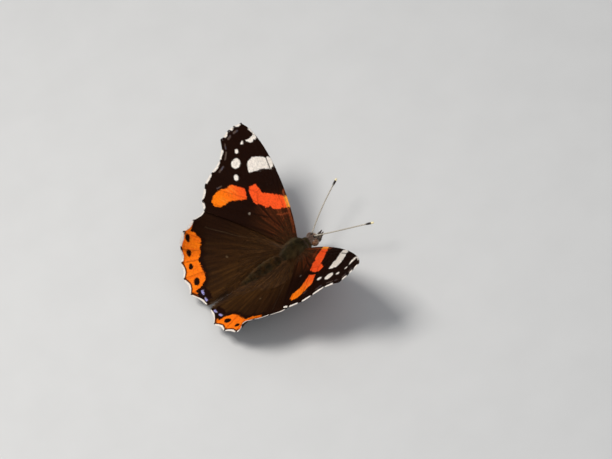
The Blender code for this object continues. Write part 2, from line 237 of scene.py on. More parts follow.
def nearest_on(places: Array, path: Array) -> Arrays:
    """Find the nearest point of a path: the foot on each straight run, clipped to the run.

    Args:
        places: Flat places, one row of two numbers each.
        path: The path's points.

    Returns:
        The distances, and where the feet are, counted in runs from the path's start.
    """
    nearest, where = np.full(len(places), np.inf), np.zeros(len(places))
    for number, (start, end) in enumerate(zip(path[:-1], path[1:])):
        offset, run = places - start, end - start
        foot = np.clip(offset @ run / max(run @ run, 1e-12), 0.0, 1.0)
        square = ((offset - foot[:, None] * run) ** 2).sum(1)
        closer = square < nearest
        nearest = np.where(closer, square, nearest)
        where = np.where(closer, number + foot, where)
    return np.sqrt(nearest), where


def distance_to(places: Array, paths: Sequence[Array]) -> Array:
    """Measure how far each flat place is from the nearest of some paths."""
    return np.min([nearest_on(places, path)[0] for path in paths], axis=0)


def depth_inside(places: Array, outline: Array) -> Array:
    """Measure how deep each place lies in an outline, by the even-odd rule for its sign.

    Args:
        places: Flat places.
        outline: The closed outline's points.

    Returns:
        The distance to the outline, positive inside and negative outside.
    """
    closed = np.vstack([outline, outline[:1]])
    crossings = np.zeros(len(places), dtype=int)
    for start, end in zip(closed[:-1], closed[1:]):
        spans = (start[1] > places[:, 1]) != (end[1] > places[:, 1])
        rise = end[1] - start[1]
        meets = start[0] + (places[:, 1] - start[1]) * (end[0] - start[0]) / (rise if rise else 1.0)
        crossings += spans & (places[:, 0] < meets)
    return np.where(crossings % 2 == 1, 1.0, -1.0) * distance_to(places, [closed])


def blend(under: Array, over: Array, share: Array) -> Array:
    """Lay one pigment over another by a share from 0 to 1 for each place."""
    return under + (over - under) * np.asarray(share)[..., None]


# ---- marks


class Mark(ABC):
    """A mark of pigment on the flat wing, its edge blurred over a soft margin."""

    soft: float

    @abstractmethod
    def depth(self, places: Array, seed: int) -> Array:
        """Give how deep inside the mark each place lies, its edge varied by one random field."""

    def share(self, places: Array, seed: int) -> Array:
        """Give how far each place belongs to the mark: a smooth step of its depth."""
        return ramp(self.depth(places, seed), -self.soft, self.soft)


@dataclass(frozen=True)
class Patch(Mark):
    """A mark with a drawn outline and a frayed edge."""

    outline: Points
    ragged: float = 0.12
    soft: float = 0.07

    def depth(self, places: Array, seed: int) -> Array:
        """Give the depth in the outline, frayed by a fine random field."""
        fray = self.ragged * (2.0 * value_noise(places * 3.2, seed) - 1.0)
        return depth_inside(places, np.array(self.outline)) + fray


@dataclass(frozen=True)
class Spot(Mark):
    """A round or long spot."""

    centre: Point
    half: Point
    turn: float = 0.0
    soft: float = 0.09
    wave: float = 0.16

    def depth(self, places: Array, seed: int) -> Array:
        """Give the depth in a turned ellipse.

        Args:
            places: Flat places on the wing.
            seed: Which random field waves the edge.

        Returns:
            One less the distance in half axes, times the shorter half axis, waved a little.
        """
        angle = math.radians(self.turn)
        offset = places - np.array(self.centre)
        along = (offset @ (math.cos(angle), math.sin(angle))) / self.half[0]
        across = (offset @ (-math.sin(angle), math.cos(angle))) / self.half[1]
        depth = (1.0 - np.hypot(along, across)) * min(self.half)
        return depth + self.wave * (value_noise(places * 2.6, seed) - 0.5)


@dataclass(frozen=True)
class Stroke(Mark):
    """A thin line along a path."""

    path: Points
    half_width: float
    soft: float = 0.08

    def depth(self, places: Array, seed: int) -> Array:
        """Give half the line's width, varied by a random field, less the distance from its path."""
        width = self.half_width * (0.75 + 0.5 * value_noise(places * 1.7, seed))
        return width - distance_to(places, [smooth_path(self.path, 16)])


# ---- shells


@dataclass
class Shell:
    """Closed shapes in the body frame, ready to become one mesh."""

    points: Array
    quads: Array
    triangles: Array
    colours: Array
    unwrap: Array | None = None

    @staticmethod
    def joined(parts: Sequence["Shell"]) -> "Shell":
        """Join shells into one.

        Args:
            parts: The shells, all with an unwrap or all without.

        Returns:
            One shell that holds them as separate closed bodies.
        """
        starts = np.cumsum([0] + [len(part.points) for part in parts[:-1]])
        has_unwrap = all(part.unwrap is not None for part in parts)
        return Shell(
            np.vstack([part.points for part in parts]),
            np.vstack([part.quads + start for part, start in zip(parts, starts)]),
            np.vstack([part.triangles + start for part, start in zip(parts, starts)]),
            np.vstack([part.colours for part in parts]),
            np.vstack([part.unwrap for part in parts]) if has_unwrap else None,
        )

    def mesh(self, name: str, place: Carry, mirrored: bool, smooth: bool) -> bpy.types.Mesh:
        """Make the Blender mesh.

        Args:
            name: The mesh's name.
            place: Carries body-frame points to where they stand, in millimetres.
            mirrored: Whether that turns the faces inside out, so that they are turned back.
            smooth: Whether the faces are shaded smooth.

        Returns:
            The mesh, in metres, with its pigment and its unwrap.
        """
        step = -1 if mirrored else 1
        loops = np.concatenate([self.quads[:, ::step].ravel(), self.triangles[:, ::step].ravel()])
        sizes = np.repeat([4, 3], [len(self.quads), len(self.triangles)])
        mesh = bpy.data.meshes.new(name)
        mesh.vertices.add(len(self.points))
        mesh.vertices.foreach_set("co", (place(self.points) * MM).ravel())
        mesh.loops.add(len(loops))
        mesh.loops.foreach_set("vertex_index", loops.astype(np.int32))
        mesh.polygons.add(len(sizes))
        mesh.polygons.foreach_set("loop_start", (np.cumsum(sizes) - sizes).astype(np.int32))
        mesh.polygons.foreach_set("use_smooth", np.full(len(sizes), smooth))
        mesh.update(calc_edges=True)
        tone = mesh.attributes.new(PIGMENT, "FLOAT_COLOR", "POINT")
        rgba = np.hstack([np.clip(self.colours, 0.0, 1.0), np.ones((len(self.colours), 1))])
        tone.data.foreach_set("color", rgba.ravel())
        if self.unwrap is not None:
            layer = mesh.uv_layers.new(name=COAT_MAP)
            layer.data.foreach_set("uv", np.clip(self.unwrap, 0.0, 1.0)[loops].ravel())
        return mesh


def grid_quads(rows: int, columns: int, ring: bool = False) -> Array:
    """List the quads of a grid of points.

    Args:
        rows: Rows of points.
        columns: Points in each row.
        ring: Whether each row closes on itself.

    Returns:
        Corner numbers, (here, next in the row, the one past it in the next row, the next row's own).
    """
    last = columns if ring else columns - 1
    row, column = (axis.ravel() for axis in np.mgrid[0 : rows - 1, 0:last])
    after = (column + 1) % columns
    here, there = row * columns + column, row * columns + after
    return np.stack([here, there, there + columns, here + columns], axis=1)


def caps(rows: int, columns: int) -> Array:
    """List the triangles that close a stack of rings at its two ends.

    Args:
        rows: How many rings.
        columns: Points in each ring.

    Returns:
        Corner numbers of a fan round each of two poles, which are numbered after the rings' points.
    """
    turn = np.arange(columns)
    after = (turn + 1) % columns
    count, last = rows * columns, (rows - 1) * columns
    first_fan = np.stack([np.full(columns, count), after, turn], axis=1)
    last_fan = np.stack([np.full(columns, count + 1), last + turn, last + after], axis=1)
    return np.vstack([first_fan, last_fan])


def tube(path: Array, widths: Array, heights: Array, sides: int, upwards: Point, colours: Array) -> Shell:
    """Carry an elliptical ring along a path and close its two ends.

    Args:
        path: The middle line.
        widths: Full width of the ring at each point of the path.
        heights: Full height of the ring there.
        sides: Points in a ring.
        upwards: A direction that a ring's height leans towards.
        colours: One pigment for each point of the path, or one for all.

    Returns:
        The closed tube.
    """
    colours = np.broadcast_to(colours, path.shape)
    tangent = unit(np.gradient(path, axis=0))
    across = unit(np.cross(np.asarray(upwards, dtype=float), tangent))
    top = np.cross(tangent, across)
    angle = (np.arange(sides) + 0.5) * TURN / sides
    wide = 0.5 * widths[:, None, None] * np.cos(angle)[None, :, None]
    tall = 0.5 * heights[:, None, None] * np.sin(angle)[None, :, None]
    rings = path[:, None] + wide * across[:, None] + tall * top[:, None]
    return Shell(
        np.vstack([rings.reshape(-1, 3), path[:1], path[-1:]]),
        grid_quads(len(path), sides, ring=True),
        caps(len(path), sides),
        np.vstack([np.repeat(colours, sides, axis=0), colours[:1], colours[-1:]]),
    )


@dataclass(frozen=True)
class Tuft:
    """A small closed shape that a coat repeats: (share of length, share of width, share of thickness)."""

    points: Points
    quads: tuple[tuple[int, ...], ...]
    triangles: tuple[tuple[int, ...], ...]

    def grow(
        self, roots: Array, ways: Array, normals: Array, length: Size, width: Size, thickness: Size,
        tilt: Size, bend: Size, colours: Array, homes: Array, tip: float = 0.0,
    ) -> Shell:
        """Repeat the tuft at many roots.

        A point goes from the root by its share of the length along the leaning way, its share of the
        width sideways and its share of the thickness along the leaning normal, then sinks towards the
        skin by bend times length times the square of its length share.

        Args:
            roots: Where each tuft starts.
            ways: Unit directions along the skin, the lie of the coat, or one for all.
            normals: Unit directions out of the skin.
            length: Length of each tuft.
            width: Width of each tuft.
            thickness: Thickness of each tuft.
            tilt: Lean away from the skin, in radians.
            bend: How much of its length a tip sinks back.
            colours: One pigment for each tuft.
            homes: Place of each root on the unwrap.
            tip: How much lighter, or darker where negative, a tip is.

        Returns:
            All the tufts as one shell, each with a small patch of its own on the unwrap.
        """
        count = len(roots)
        share = np.array(self.points, dtype=float)
        length, width, thickness, tilt, bend = (
            np.broadcast_to(np.asarray(size, dtype=float), (count,))[:, None, None]
            for size in (length, width, thickness, tilt, bend)
        )
        ways, normals = ways[:, None], normals[:, None]
        lean = ways * np.cos(tilt) + normals * np.sin(tilt)
        rise = normals * np.cos(tilt) - ways * np.sin(tilt)
        long, wide, high = (share[None, :, axis, None] for axis in range(3))
        points = (
            roots[:, None]
            + lean * long * length
            + np.cross(normals, ways) * wide * width
            + rise * high * thickness
            - normals * bend * length * long**2
        )
        starts = np.arange(count)[:, None, None] * len(share)
        tone = colours[:, None] * (1.0 + tip * long)
        patch = PATCH * np.stack([share[:, 1], share[:, 0] - 0.5], axis=1)
        return Shell(
            points.reshape(-1, 3),
            (np.array(self.quads, dtype=int).reshape(-1, 4)[None] + starts).reshape(-1, 4),
            (np.array(self.triangles, dtype=int).reshape(-1, 3)[None] + starts).reshape(-1, 3),
            tone.reshape(-1, 3),
            (homes[:, None] + patch[None]).reshape(-1, 2),
        )


SHINGLE = Tuft(
    points=(
        (0, 0, 0), (0.36, -0.5, 0), (0.84, -0.44, 0), (1, 0, 0), (0.84, 0.44, 0),
        (0.36, 0.5, 0), (0.5, 0, 1),
    ),
    quads=((0, 5, 4, 3), (0, 3, 2, 1)),
    triangles=((0, 1, 6), (1, 2, 6), (2, 3, 6), (3, 4, 6), (4, 5, 6), (5, 0, 6)),
)
VANE = Tuft(
    points=((0.0, 0.0, 0.0), (0.5, -0.5, 0.0), (1.0, 0.0, 0.0), (0.5, 0.5, 0.0), (0.4, 0.0, 1.0)),
    quads=((0, 3, 2, 1),),
    triangles=((0, 1, 4), (1, 2, 4), (2, 3, 4), (3, 0, 4)),
)
LOCK = Tuft(
    points=(
        (0, 0, 0.5), (0, -0.43, -0.25), (0, 0.43, -0.25), (0.55, 0, 0.42), (0.55, -0.36, -0.2),
        (0.55, 0.36, -0.2), (1, 0, 0),
    ),
    quads=((0, 1, 4, 3), (1, 2, 5, 4), (2, 0, 3, 5)),
    triangles=((3, 4, 6), (4, 5, 6), (5, 3, 6), (2, 1, 0)),
)


# ---- finishes


class Bench:
    """Lays out the nodes of one material round its Principled shader."""

    def __init__(self, name: str) -> None:
        """Start a material with nothing but its shader and its output."""
        self.material = bpy.data.materials.new(name)
        self.material.use_nodes = True
        self.tree = self.material.node_tree
        self.shader = self.tree.nodes["Principled BSDF"]

    def fill(self, node: bpy.types.Node, inputs: Inputs) -> bpy.types.Node:
        """Set or link a node's inputs.

        Args:
            node: The node.
            inputs: A value, or another node's output, for each input's name or number.

        Returns:
            The same node.
        """
        for key, value in inputs.items():
            if isinstance(value, Socket):
                self.tree.links.new(value, node.inputs[key])
            else:
                node.inputs[key].default_value = value
        return node

    def add(self, kind: str, inputs: Inputs | None = None, **settings: object) -> bpy.types.Node:
        """Add a node.

        Args:
            kind: Blender's name for the node, without ShaderNode.
            inputs: What its inputs hold.
            **settings: The node's own settings.

        Returns:
            The node.
        """
        node = self.tree.nodes.new("ShaderNode" + kind)
        for key, value in settings.items():
            setattr(node, key, value)
        return self.fill(node, inputs or {})

    def noise(self, size_mm: float, detail: float = 2.0) -> Socket:
        """Add a noise on the piece's own place.

        Args:
            size_mm: About how many millimetres across its lumps are.
            detail: How many finer layers it has.

        Returns:
            The noise's value, mostly 0.3 to 0.7.
        """
        place = self.add("TexCoord").outputs["Object"]
        lumps = {"Vector": place, "Scale": 1.0 / (size_mm * MM), "Detail": detail}
        return self.add("TexNoise", lumps).outputs["Fac"]

    def between(self, share: Socket, low: float, high: float) -> Socket:
        """Spread a noise's middle range over low to high."""
        spread = {"Value": share, "From Min": 0.3, "From Max": 0.7, "To Min": low, "To Max": high}
        return self.add("MapRange", spread).outputs["Result"]

    def painted(self, gain: Socket) -> Socket:
        """Give the piece's own pigment, lighter or darker by a gain."""
        tone = self.add("Attribute", attribute_name=PIGMENT).outputs["Color"]
        return self.add("VectorMath", {0: tone, "Scale": gain}, operation="SCALE").outputs["Vector"]

    def bumps(self, relief: Socket, strength: float, depth_mm: float) -> Socket:
        """Give the normals of a relief that is this many millimetres deep."""
        height = {"Height": relief, "Strength": strength, "Distance": depth_mm * MM}
        return self.add("Bump", height).outputs["Normal"]

    def finished(self, inputs: Inputs) -> Material:
        """Give the material, its shader holding these inputs."""
        self.fill(self.shader, inputs)
        return self.material


@dataclass(frozen=True)
class PigmentFinish:
    """A surface that carries its pigment, mottled, with its own gloss and fine relief."""

    name: str
    roughness: float
    roughness_spread: float = 0.08
    mottle: float = 0.12
    mottle_mm: float = 0.5
    relief_mm: float = 0.12
    relief_depth_mm: float = 0.01
    sheen: float = 0.0
    sheen_roughness: float = 0.4
    sheen_tint: tuple[float, float, float] = (0.75, 0.62, 0.45)
    coat: float = 0.0
    specular: float = 0.35

    @cache
    def material(self) -> Material:
        """Make the material once: the pigment times a mottling noise, a gloss that follows it, and bumps."""
        bench = Bench(self.name)
        mottling = bench.noise(self.mottle_mm)
        low, high = self.roughness - self.roughness_spread, self.roughness + self.roughness_spread
        return bench.finished(
            {
                "Base Color": bench.painted(bench.between(mottling, 1.0 - self.mottle, 1.0 + self.mottle)),
                "Roughness": bench.between(mottling, low, high),
                "Normal": bench.bumps(bench.noise(self.relief_mm, 1.0), 0.6, self.relief_depth_mm),
                "Sheen Weight": self.sheen,
                "Sheen Roughness": self.sheen_roughness,
                "Sheen Tint": (*self.sheen_tint, 1.0),
                "Coat Weight": self.coat,
                "Specular IOR Level": self.specular,
            }
        )


@dataclass(frozen=True)
class EyeFinish:
    """A glossy faceted eye: dark brown with paler flecks, which are painted highlights."""

    name: str = "eye_facets"
    painted_glint_mm: float = 0.2
    roughness: float = 0.36
    roughness_spread: float = 0.06
    grain_mm: float = 0.06
    grain_depth_mm: float = 0.004
    coat: float = 0.2

    @cache
    def material(self) -> Material:
        """Make the material once: the pigment, lighter where a noise of painted highlights peaks, under a
        thin clear coat.
        """
        bench = Bench(self.name)
        grain = bench.noise(self.grain_mm, 0.0)
        low, high = self.roughness - self.roughness_spread, self.roughness + self.roughness_spread
        return bench.finished(
            {
                # Paler flecks: painted highlights, glints of light on the eye.
                "Base Color": bench.painted(bench.between(bench.noise(self.painted_glint_mm), 0.6, 1.6)),
                "Roughness": bench.between(grain, low, high),
                "Normal": bench.bumps(grain, 0.3, self.grain_depth_mm),
                "Coat Weight": self.coat,
                "Coat Roughness": 0.2,
            }
        )


@dataclass(frozen=True)
class FloorFinish:
    """A plain pale matt floor."""

    name: str = "studio_floor"
    grey: float = 0.62

    def material(self) -> Material:
        """Make the material: one grey, very slightly uneven."""
        bench = Bench(self.name)
        gain = bench.between(bench.noise(12.0), self.grey * 0.985, self.grey * 1.015)
        tone = bench.add("CombineColor", {0: gain, 1: gain, 2: gain})
        return bench.finished({"Base Color": tone.outputs["Color"], "Roughness": 0.8})


SCALES = PigmentFinish("wing_scales", 0.66, mottle=0.1, specular=0.03)
MEMBRANE = PigmentFinish("wing_membrane", 0.6, mottle=0.08, specular=0.08)
HAIR = PigmentFinish("body_hair_coat", 0.6, mottle=0.18, mottle_mm=0.9, sheen=0.05, specular=0.14)
CUTICLE = PigmentFinish("body_cuticle", 0.5, mottle=0.15, relief_mm=0.25, relief_depth_mm=0.03)
HORN = PigmentFinish("horn", 0.42, mottle=0.12, relief_mm=0.08, relief_depth_mm=0.008, coat=0.15)
FACETS = EyeFinish()


# ---- setting pieces out


@dataclass(frozen=True)
class Stance:
    """Where the body stands: pitched nose up about the forewing hinge, which is above the floor."""

    pitch: float = math.radians(5.0)
    hinge: Point = (0.0, -5.075, 5.8)

    def carried(self, side: Side) -> Carry:
        """Give the map from the body frame to the standing butterfly.

        Args:
            side: Which side the points are drawn for.

        Returns:
            The map: out becomes X times the side, forwards becomes -Y, then a turn by the pitch.
        """
        cos, sin = math.cos(self.pitch), math.sin(self.pitch)

        def place(points: Array) -> Array:
            """Turn and move the points."""
            out, ahead, up = points.T
            turned = [side.value * out, -ahead * cos + up * sin, ahead * sin + up * cos]
            return np.stack(turned, axis=1) + np.array(self.hinge)

        return place

    def standing(self, side: Side) -> Carry:
        """Give the map for points drawn as (out, forwards, height above the floor)."""

        def place(points: Array) -> Array:
            """Move the points without turning them."""
            out, ahead, up = points.T
            return np.stack([side.value * out, self.hinge[1] - ahead, up], axis=1)

        return place

    def lifted(self, point: Point) -> Point:
        """Turn a body-frame point into (out, forwards, height above the floor)."""
        cos, sin = math.cos(self.pitch), math.sin(self.pitch)
        out, ahead, up = point
        return (out, ahead * cos - up * sin, up * cos + ahead * sin + self.hinge[2])


STANCE = Stance()


def set_down(name: str, data: bpy.types.ID) -> bpy.types.Object:
    """Put something into the scene.

    Args:
        name: The new object's name.
        data: Its mesh, lamp or camera.

    Returns:
        The object.
    """
    thing = bpy.data.objects.new(name, data)
    bpy.context.scene.collection.objects.link(thing)
    return thing


def set_out(
    name: str, shell: Shell, finish: PigmentFinish | EyeFinish, nodes: Sequence[str] = (),
    side: Side = Side.LEFT, smooth: bool = False, place: Carry | None = None,
) -> None:
    """Make a piece of the butterfly and let it ride on the one body.

    Args:
        name: The piece's name.
        shell: Its shape.
        finish: Its finish.
        nodes: The solids that it stands for.
        side: Which side it belongs to; a middle piece is drawn as a left one.
        smooth: Whether it is shaded smooth.
        place: Carries its points to where they stand; the pitched body's map where it isn't given.
    """
    mesh = shell.mesh(name, place or STANCE.carried(side), side is Side.LEFT, smooth)
    mesh.materials.append(finish.material())
    piece = set_down(name, mesh)
    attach(piece, "root")
    if nodes:
        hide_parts(*nodes)
    faces = 2 * len(shell.quads) + len(shell.triangles)
    log.info("%-26s %7d triangles, stands for %s", name, faces, ", ".join(nodes) or "no node")


# ---- wings


def bezier(corners: Sequence[Point], share: Array) -> Array:
    """Read a cubic Bezier curve: its four corners weighted by the terms of (rest + share) cubed.

    Args:
        corners: Start, two handles and end.
        share: Where to read it, from 0 to 1.

    Returns:
        One row of coordinates for each share.
    """
    start, inner, outer, end = (np.array(corner) for corner in corners)
    share = share[..., None]
    rest = 1.0 - share
    return rest**3 * start + 3 * rest**2 * share * inner + 3 * rest * share**2 * outer + share**3 * end


def fore_height(out: Array, ahead: Array) -> Array:
    """Give the forewing's height: a plane that rises outwards and forwards, less a square, its tip lifted."""
    tip = np.clip(out - 24.0, 0.0, None)
    return -1.26 + 0.60 * out + 0.18 * ahead - 0.001 * out * out + 0.0036 * tip**2 * (ahead + 1.0)


@dataclass
class Wing(ABC):
    """One wing: a flat plan bent over a height surface, a membrane, two coats of scales, hair, a fringe."""

    side: Side
    label: str = ""
    slot: str = ""
    hub: Point = (1.5, 0.0)
    tips: Points = ()
    breaks: Points = ()
    veins: tuple[Points, ...] = ()
    scallops: tuple[float, ...] = ()
    membrane_lift: float = 0.0
    membrane_half: float = 0.06
    membrane_end: float = 0.975
    ridge: float = 0.07
    ridge_half: float = 0.13
    pleat: float = 0.16
    pleat_reach: float = 0.9
    row_gap: float = 0.195
    column_gap: float = 0.17
    under_spread: float = 1.08
    scale_length: float = 0.36
    scale_width: float = 0.215
    scale_thickness: float = 0.022
    scale_tilt: float = 0.14
    fringe_width: float = 0.2
    fringe_swell: float = 0.27
    fluff: float = 0.0
    fringe_gap: float = 0.05
    fringe_insets: Point = (0.14, 0.3)
    vane_width: float = 0.14
    vane_thickness: float = 0.03
    unwrap_origin: Point = (0.0, 0.0)
    unwrap_size: float = 32.0
    seed: int = 1

    def __post_init__(self) -> None:
        """Work out the outer edge and the vein paths once."""
        run = np.diff(np.array(self.tips), axis=0)
        inwards = np.stack([run[:, 1], -run[:, 0]], axis=1) / np.linalg.norm(run, axis=1)[:, None]
        share = (np.arange(RUN_STEPS) / RUN_STEPS)[None, :, None]
        hollow = np.array(self.scallops)[:, None, None] * np.sin(math.pi * share) ** 2
        arcs = np.array(self.tips)[:-1, None] + share * run[:, None] + hollow * inwards[:, None]
        self.edge = np.vstack([arcs.reshape(-1, 2), self.tips[-1]])
        steps = run_up(self.edge)
        self.edge_length = steps[-1]
        self.edge_share = steps / steps[-1]
        self.vein_paths = [smooth_path(vein, 14) for vein in self.veins]
        self.ridge_paths = [*self.vein_paths, self.front(np.linspace(0.0, 1.0, 20))]
        self.rng = np.random.default_rng(self.seed + (0 if self.side is Side.LEFT else 100))

    @abstractmethod
    def front(self, span: Array) -> Array:
        """Give the flat front edge."""

    @abstractmethod
    def rear(self, span: Array) -> Array:
        """Give the flat rear edge."""

    @abstractmethod
    def height(self, out: Array, ahead: Array) -> Array:
        """Give the height of the wing's middle."""

    @abstractmethod
    def upper(self, places: Array) -> Array:
        """Give the upper side's pigment at flat places."""

    @abstractmethod
    def under(self, places: Array) -> Array:
        """Give the under side's pigment at flat places."""

    def plan(self, span: Array, chord: Array) -> Array:
        """Give flat places on the wing.

        Args:
            span: From 0 at the root to 1 at the outer edge.
            chord: From 0 at the front edge to 1 at the rear edge.

        Returns:
            The sheet ruled between the front and rear edges, plus span times how far the outer edge
            stands out from the straight line between its two tips.
        """
        span, chord = np.broadcast_arrays(span, chord)
        outer = np.stack([np.interp(chord, self.edge_share, axis) for axis in self.edge.T], axis=-1)
        front, rear = self.front(span), self.rear(span)
        span, chord = span[..., None], chord[..., None]
        tips = self.tips[0] + chord * np.subtract(self.tips[-1], self.tips[0])
        return (1 - chord) * front + chord * rear + span * (outer - tips)

    def sheet(self, flat: Array) -> Array:
        """Bend flat places over the wing, pleated so that each vein runs along a low ridge.

        Args:
            flat: Flat places, one row each.

        Returns:
            Body-frame points on the middle of the membrane.
        """
        gap = distance_to(flat, self.ridge_paths)
        fold = self.pleat * (np.exp(-gap / self.pleat_reach) - 0.5)
        up = self.height(flat[:, 0], flat[:, 1]) + self.membrane_lift + fold
        return np.column_stack([flat, up])

    def frame(self, span: Array, chord: Array) -> Arrays:
        """Give the wing's surface with its directions, from differences over a small step.

        Args:
            span: From root to outer edge.
            chord: From front to rear edge.

        Returns:
            Flat places, body-frame points, unit directions outwards and unit normals upwards.
        """
        step = 0.006
        flat = self.plan(span, chord)
        here = self.sheet(flat)
        outwards = unit(self.sheet(self.plan(span + step, chord)) - self.sheet(self.plan(span - step, chord)))
        rearwards = self.sheet(self.plan(span, chord + step)) - self.sheet(self.plan(span, chord - step))
        return flat, here, outwards, unit(np.cross(rearwards, outwards))

    def half_thickness(self, flat: Array) -> Array:
        """Give half the membrane's thickness, swollen by a bell curve along each vein."""
        gap = distance_to(flat, self.ridge_paths)
        return self.membrane_half + self.ridge * bell(gap, self.ridge_half)

    def home(self, flat: Array) -> Array:
        """Give flat places on the unwrap, which is the wing laid flat."""
        return 0.02 + 0.96 * (flat - np.array(self.unwrap_origin)) / self.unwrap_size

    def pigments(self, flat: Array, face: Face) -> Array:
        """Give the pigment of either side at flat places."""
        return self.upper(flat) if face is Face.UPPER else self.under(flat)

    def fringe_reach(self, where: Array) -> Array:
        """Give the fringe's width, places counted in steps of the edge: widest between veins by a sine."""
        return self.fringe_width + self.fringe_swell * np.abs(np.sin(math.pi * where / RUN_STEPS))

    def inside_fringe(self, flat: Array) -> Array:
        """Give how far inside the fringe's base each flat place lies."""
        margin, where = nearest_on(flat, self.edge)
        return margin - self.fringe_reach(where)

    @abstractmethod
    def covered(self, flat: Array, face: Face) -> Array:
        """Say which flat places of a side lie deep under the other wing, where no scales are needed."""

    def from_hub(self, flat: Array) -> Array:
        """Give how far each flat place is from the wing's hub."""
        return np.hypot(flat[:, 0] - self.hub[0], flat[:, 1] - self.hub[1])

    def streaks(self, flat: Array, fineness: float, seed: int) -> Array:
        """Give a random field drawn out along the rays from the wing's hub."""
        bearing = np.arctan2(flat[:, 1] - self.hub[1], flat[:, 0] - self.hub[0])
        return value_noise(np.column_stack([bearing * fineness, self.from_hub(flat) * 0.22]), seed)

    def skin(self, rows: int = 84, columns: int = 96) -> Shell:
        """Build the membrane.

        Args:
            rows: Grid rows from root to edge.
            columns: Grid points along each row.

        Returns:
            A closed sheet: an upper grid, an under grid and a wall of quads between their rims, a fifth as
            thick under the fringe.
        """
        share = np.linspace(0.0, 1.0, rows) * self.membrane_end
        chord = np.linspace(*RIM, columns)
        span, chord = (axis.ravel() for axis in np.meshgrid(share, chord, indexing="ij"))
        flat, middle, _, normal = self.frame(span, chord)
        thin = 0.2 + 0.8 * ramp(self.inside_fringe(flat), -0.05, 0.4)
        half = (self.half_thickness(flat) * thin)[:, None]
        quads = grid_quads(rows, columns)
        count = rows * columns
        number = np.arange(count).reshape(rows, columns)
        rim = np.concatenate([number[0], number[1:, -1], number[-1, -2::-1], number[-2:0:-1, 0]])
        wall = np.stack([rim, np.roll(rim, -1), np.roll(rim, -1) + count, rim + count], axis=1)
        return Shell(
            np.vstack([middle + half * normal, middle - half * normal]),
            np.vstack([quads[:, ::-1], quads + count, wall]),
            np.empty((0, 3), dtype=int),
            np.vstack([self.upper(flat), self.under(flat)]),
        )

    def coat(self, face: Face) -> Shell:
        """Build the shingled scales of one side: rows across the wing, each staggered against the next.

        Args:
            face: Which side.

        Returns:
            The scales, each of one pigment.
        """
        even = np.linspace(0.0, 1.0, 33)
        middle = self.plan(even, np.full(33, 0.4))
        spread = 1.0 if face is Face.UPPER else self.under_spread
        count = int(np.linalg.norm(np.diff(middle, axis=0), axis=1).sum() / (spread * self.row_gap))
        rows = (np.arange(count) + 0.5) / count
        lines = self.plan(rows[:, None], even[None])
        lengths = np.linalg.norm(np.diff(lines, axis=1), axis=2).sum(1)
        counts = np.maximum((lengths / (spread * self.column_gap)).astype(int), 2)
        span = np.repeat(rows, counts)
        order = np.arange(counts.sum()) - np.repeat(np.cumsum(counts) - counts, counts)
        stagger = np.repeat(0.25 + 0.5 * (np.arange(count) % 2), counts)
        jitter = self.rng.uniform(-0.16, 0.16, (2, len(span)))
        chord = np.clip((order + stagger + jitter[0]) / np.repeat(counts, counts), *RIM)
        span = span + jitter[1] / count
        flat = self.plan(span, chord)
        costa = distance_to(flat, [self.front(np.linspace(0.0, 1.0, 24))])
        clear = self.inside_fringe(flat) > 0.85 * self.scale_length
        kept = clear & ~self.covered(flat, face) & (costa > 0.1)
        span, chord = span[kept], chord[kept]
        flat, here, outwards, normal = self.frame(span, chord)
        normal *= face.value
        roots = here + normal * (self.half_thickness(flat) + 0.004)[:, None]
        ways = swung(outwards, normal, self.rng.normal(0.0, 0.07, len(span)))
        size = self.rng.uniform(0.88, 1.12, (2, len(span)))
        length, width = spread * self.scale_length * size[0], spread * self.scale_width * size[1]
        tone = self.pigments(flat, face) * self.rng.normal(1.0, 0.09, len(span))[:, None]
        thick, tilt, homes = self.scale_thickness, self.scale_tilt, self.home(flat)
        return SHINGLE.grow(roots, ways, normal, length, width, thick, tilt, 0.0, tone, homes, tip=0.08)

    def fringe_white(self, chord: Array) -> Array:
        """Say how white the fringe is: fully, but for a dark break where each vein meets the edge.

        Args:
            chord: Places along the outer edge.

        Returns:
            Shares from 0 to 1.
        """
        centres, halves = np.array(self.breaks).T
        middle = np.interp(centres * RUN_STEPS, np.arange(len(self.edge_share)), self.edge_share)
        gap = np.abs(chord[:, None] - middle[None]) * self.edge_length
        return ramp((gap - halves).min(axis=1), -0.08, 0.1)

    def fringe(self) -> Shell:
        """Build the fringe of long narrow scales round the outer edge, in an upper and an under layer."""
        layers = []
        count = int(self.edge_length / self.fringe_gap)
        for face, inset in product(Face, self.fringe_insets):
            chord = (np.arange(count) + self.rng.uniform(0.1, 0.9, count)) / count
            ones = np.ones(count)
            run = 10.0 * np.linalg.norm(self.plan(ones, chord) - self.plan(0.9 * ones, chord), axis=1)
            reach = self.fringe_reach(np.interp(chord, self.edge_share, np.arange(len(self.edge_share))))
            flat, here, _, normal = self.frame(1.0 - (reach + inset) / run, chord)
            ends = self.sheet(self.plan(ones, np.clip(chord + self.rng.normal(0.0, 0.002, count), 0.0, 1.0)))
            normal *= face.value
            here = here + normal * (self.half_thickness(flat) * 0.6 + 0.02)[:, None]
            ways = ends - here
            reach = np.linalg.norm(ways, axis=1)
            ways /= reach[:, None]
            white = self.fringe_white(chord)
            length = reach * self.rng.uniform(0.94, 1.1, count) * (0.68 + 0.32 * white)
            tone = blend(Hue.soot, Hue.chalk, white) * self.rng.normal(1.0, 0.05, count)[:, None]
            wide, thick = self.vane_width, self.vane_thickness
            layers.append(VANE.grow(here, ways, normal, length, wide, thick, 0.0, 0.0, tone, self.home(flat)))
        return Shell.joined(layers)

    @abstractmethod
    def hair_span(self) -> Arrays:
        """Give span, chord, length and pigment of each long hair on the upper side."""

    def hair_turn(self, span: Array, chord: Array) -> Array:
        """Give how far each hair swings away from the midline, in radians."""
        return np.zeros(len(span))

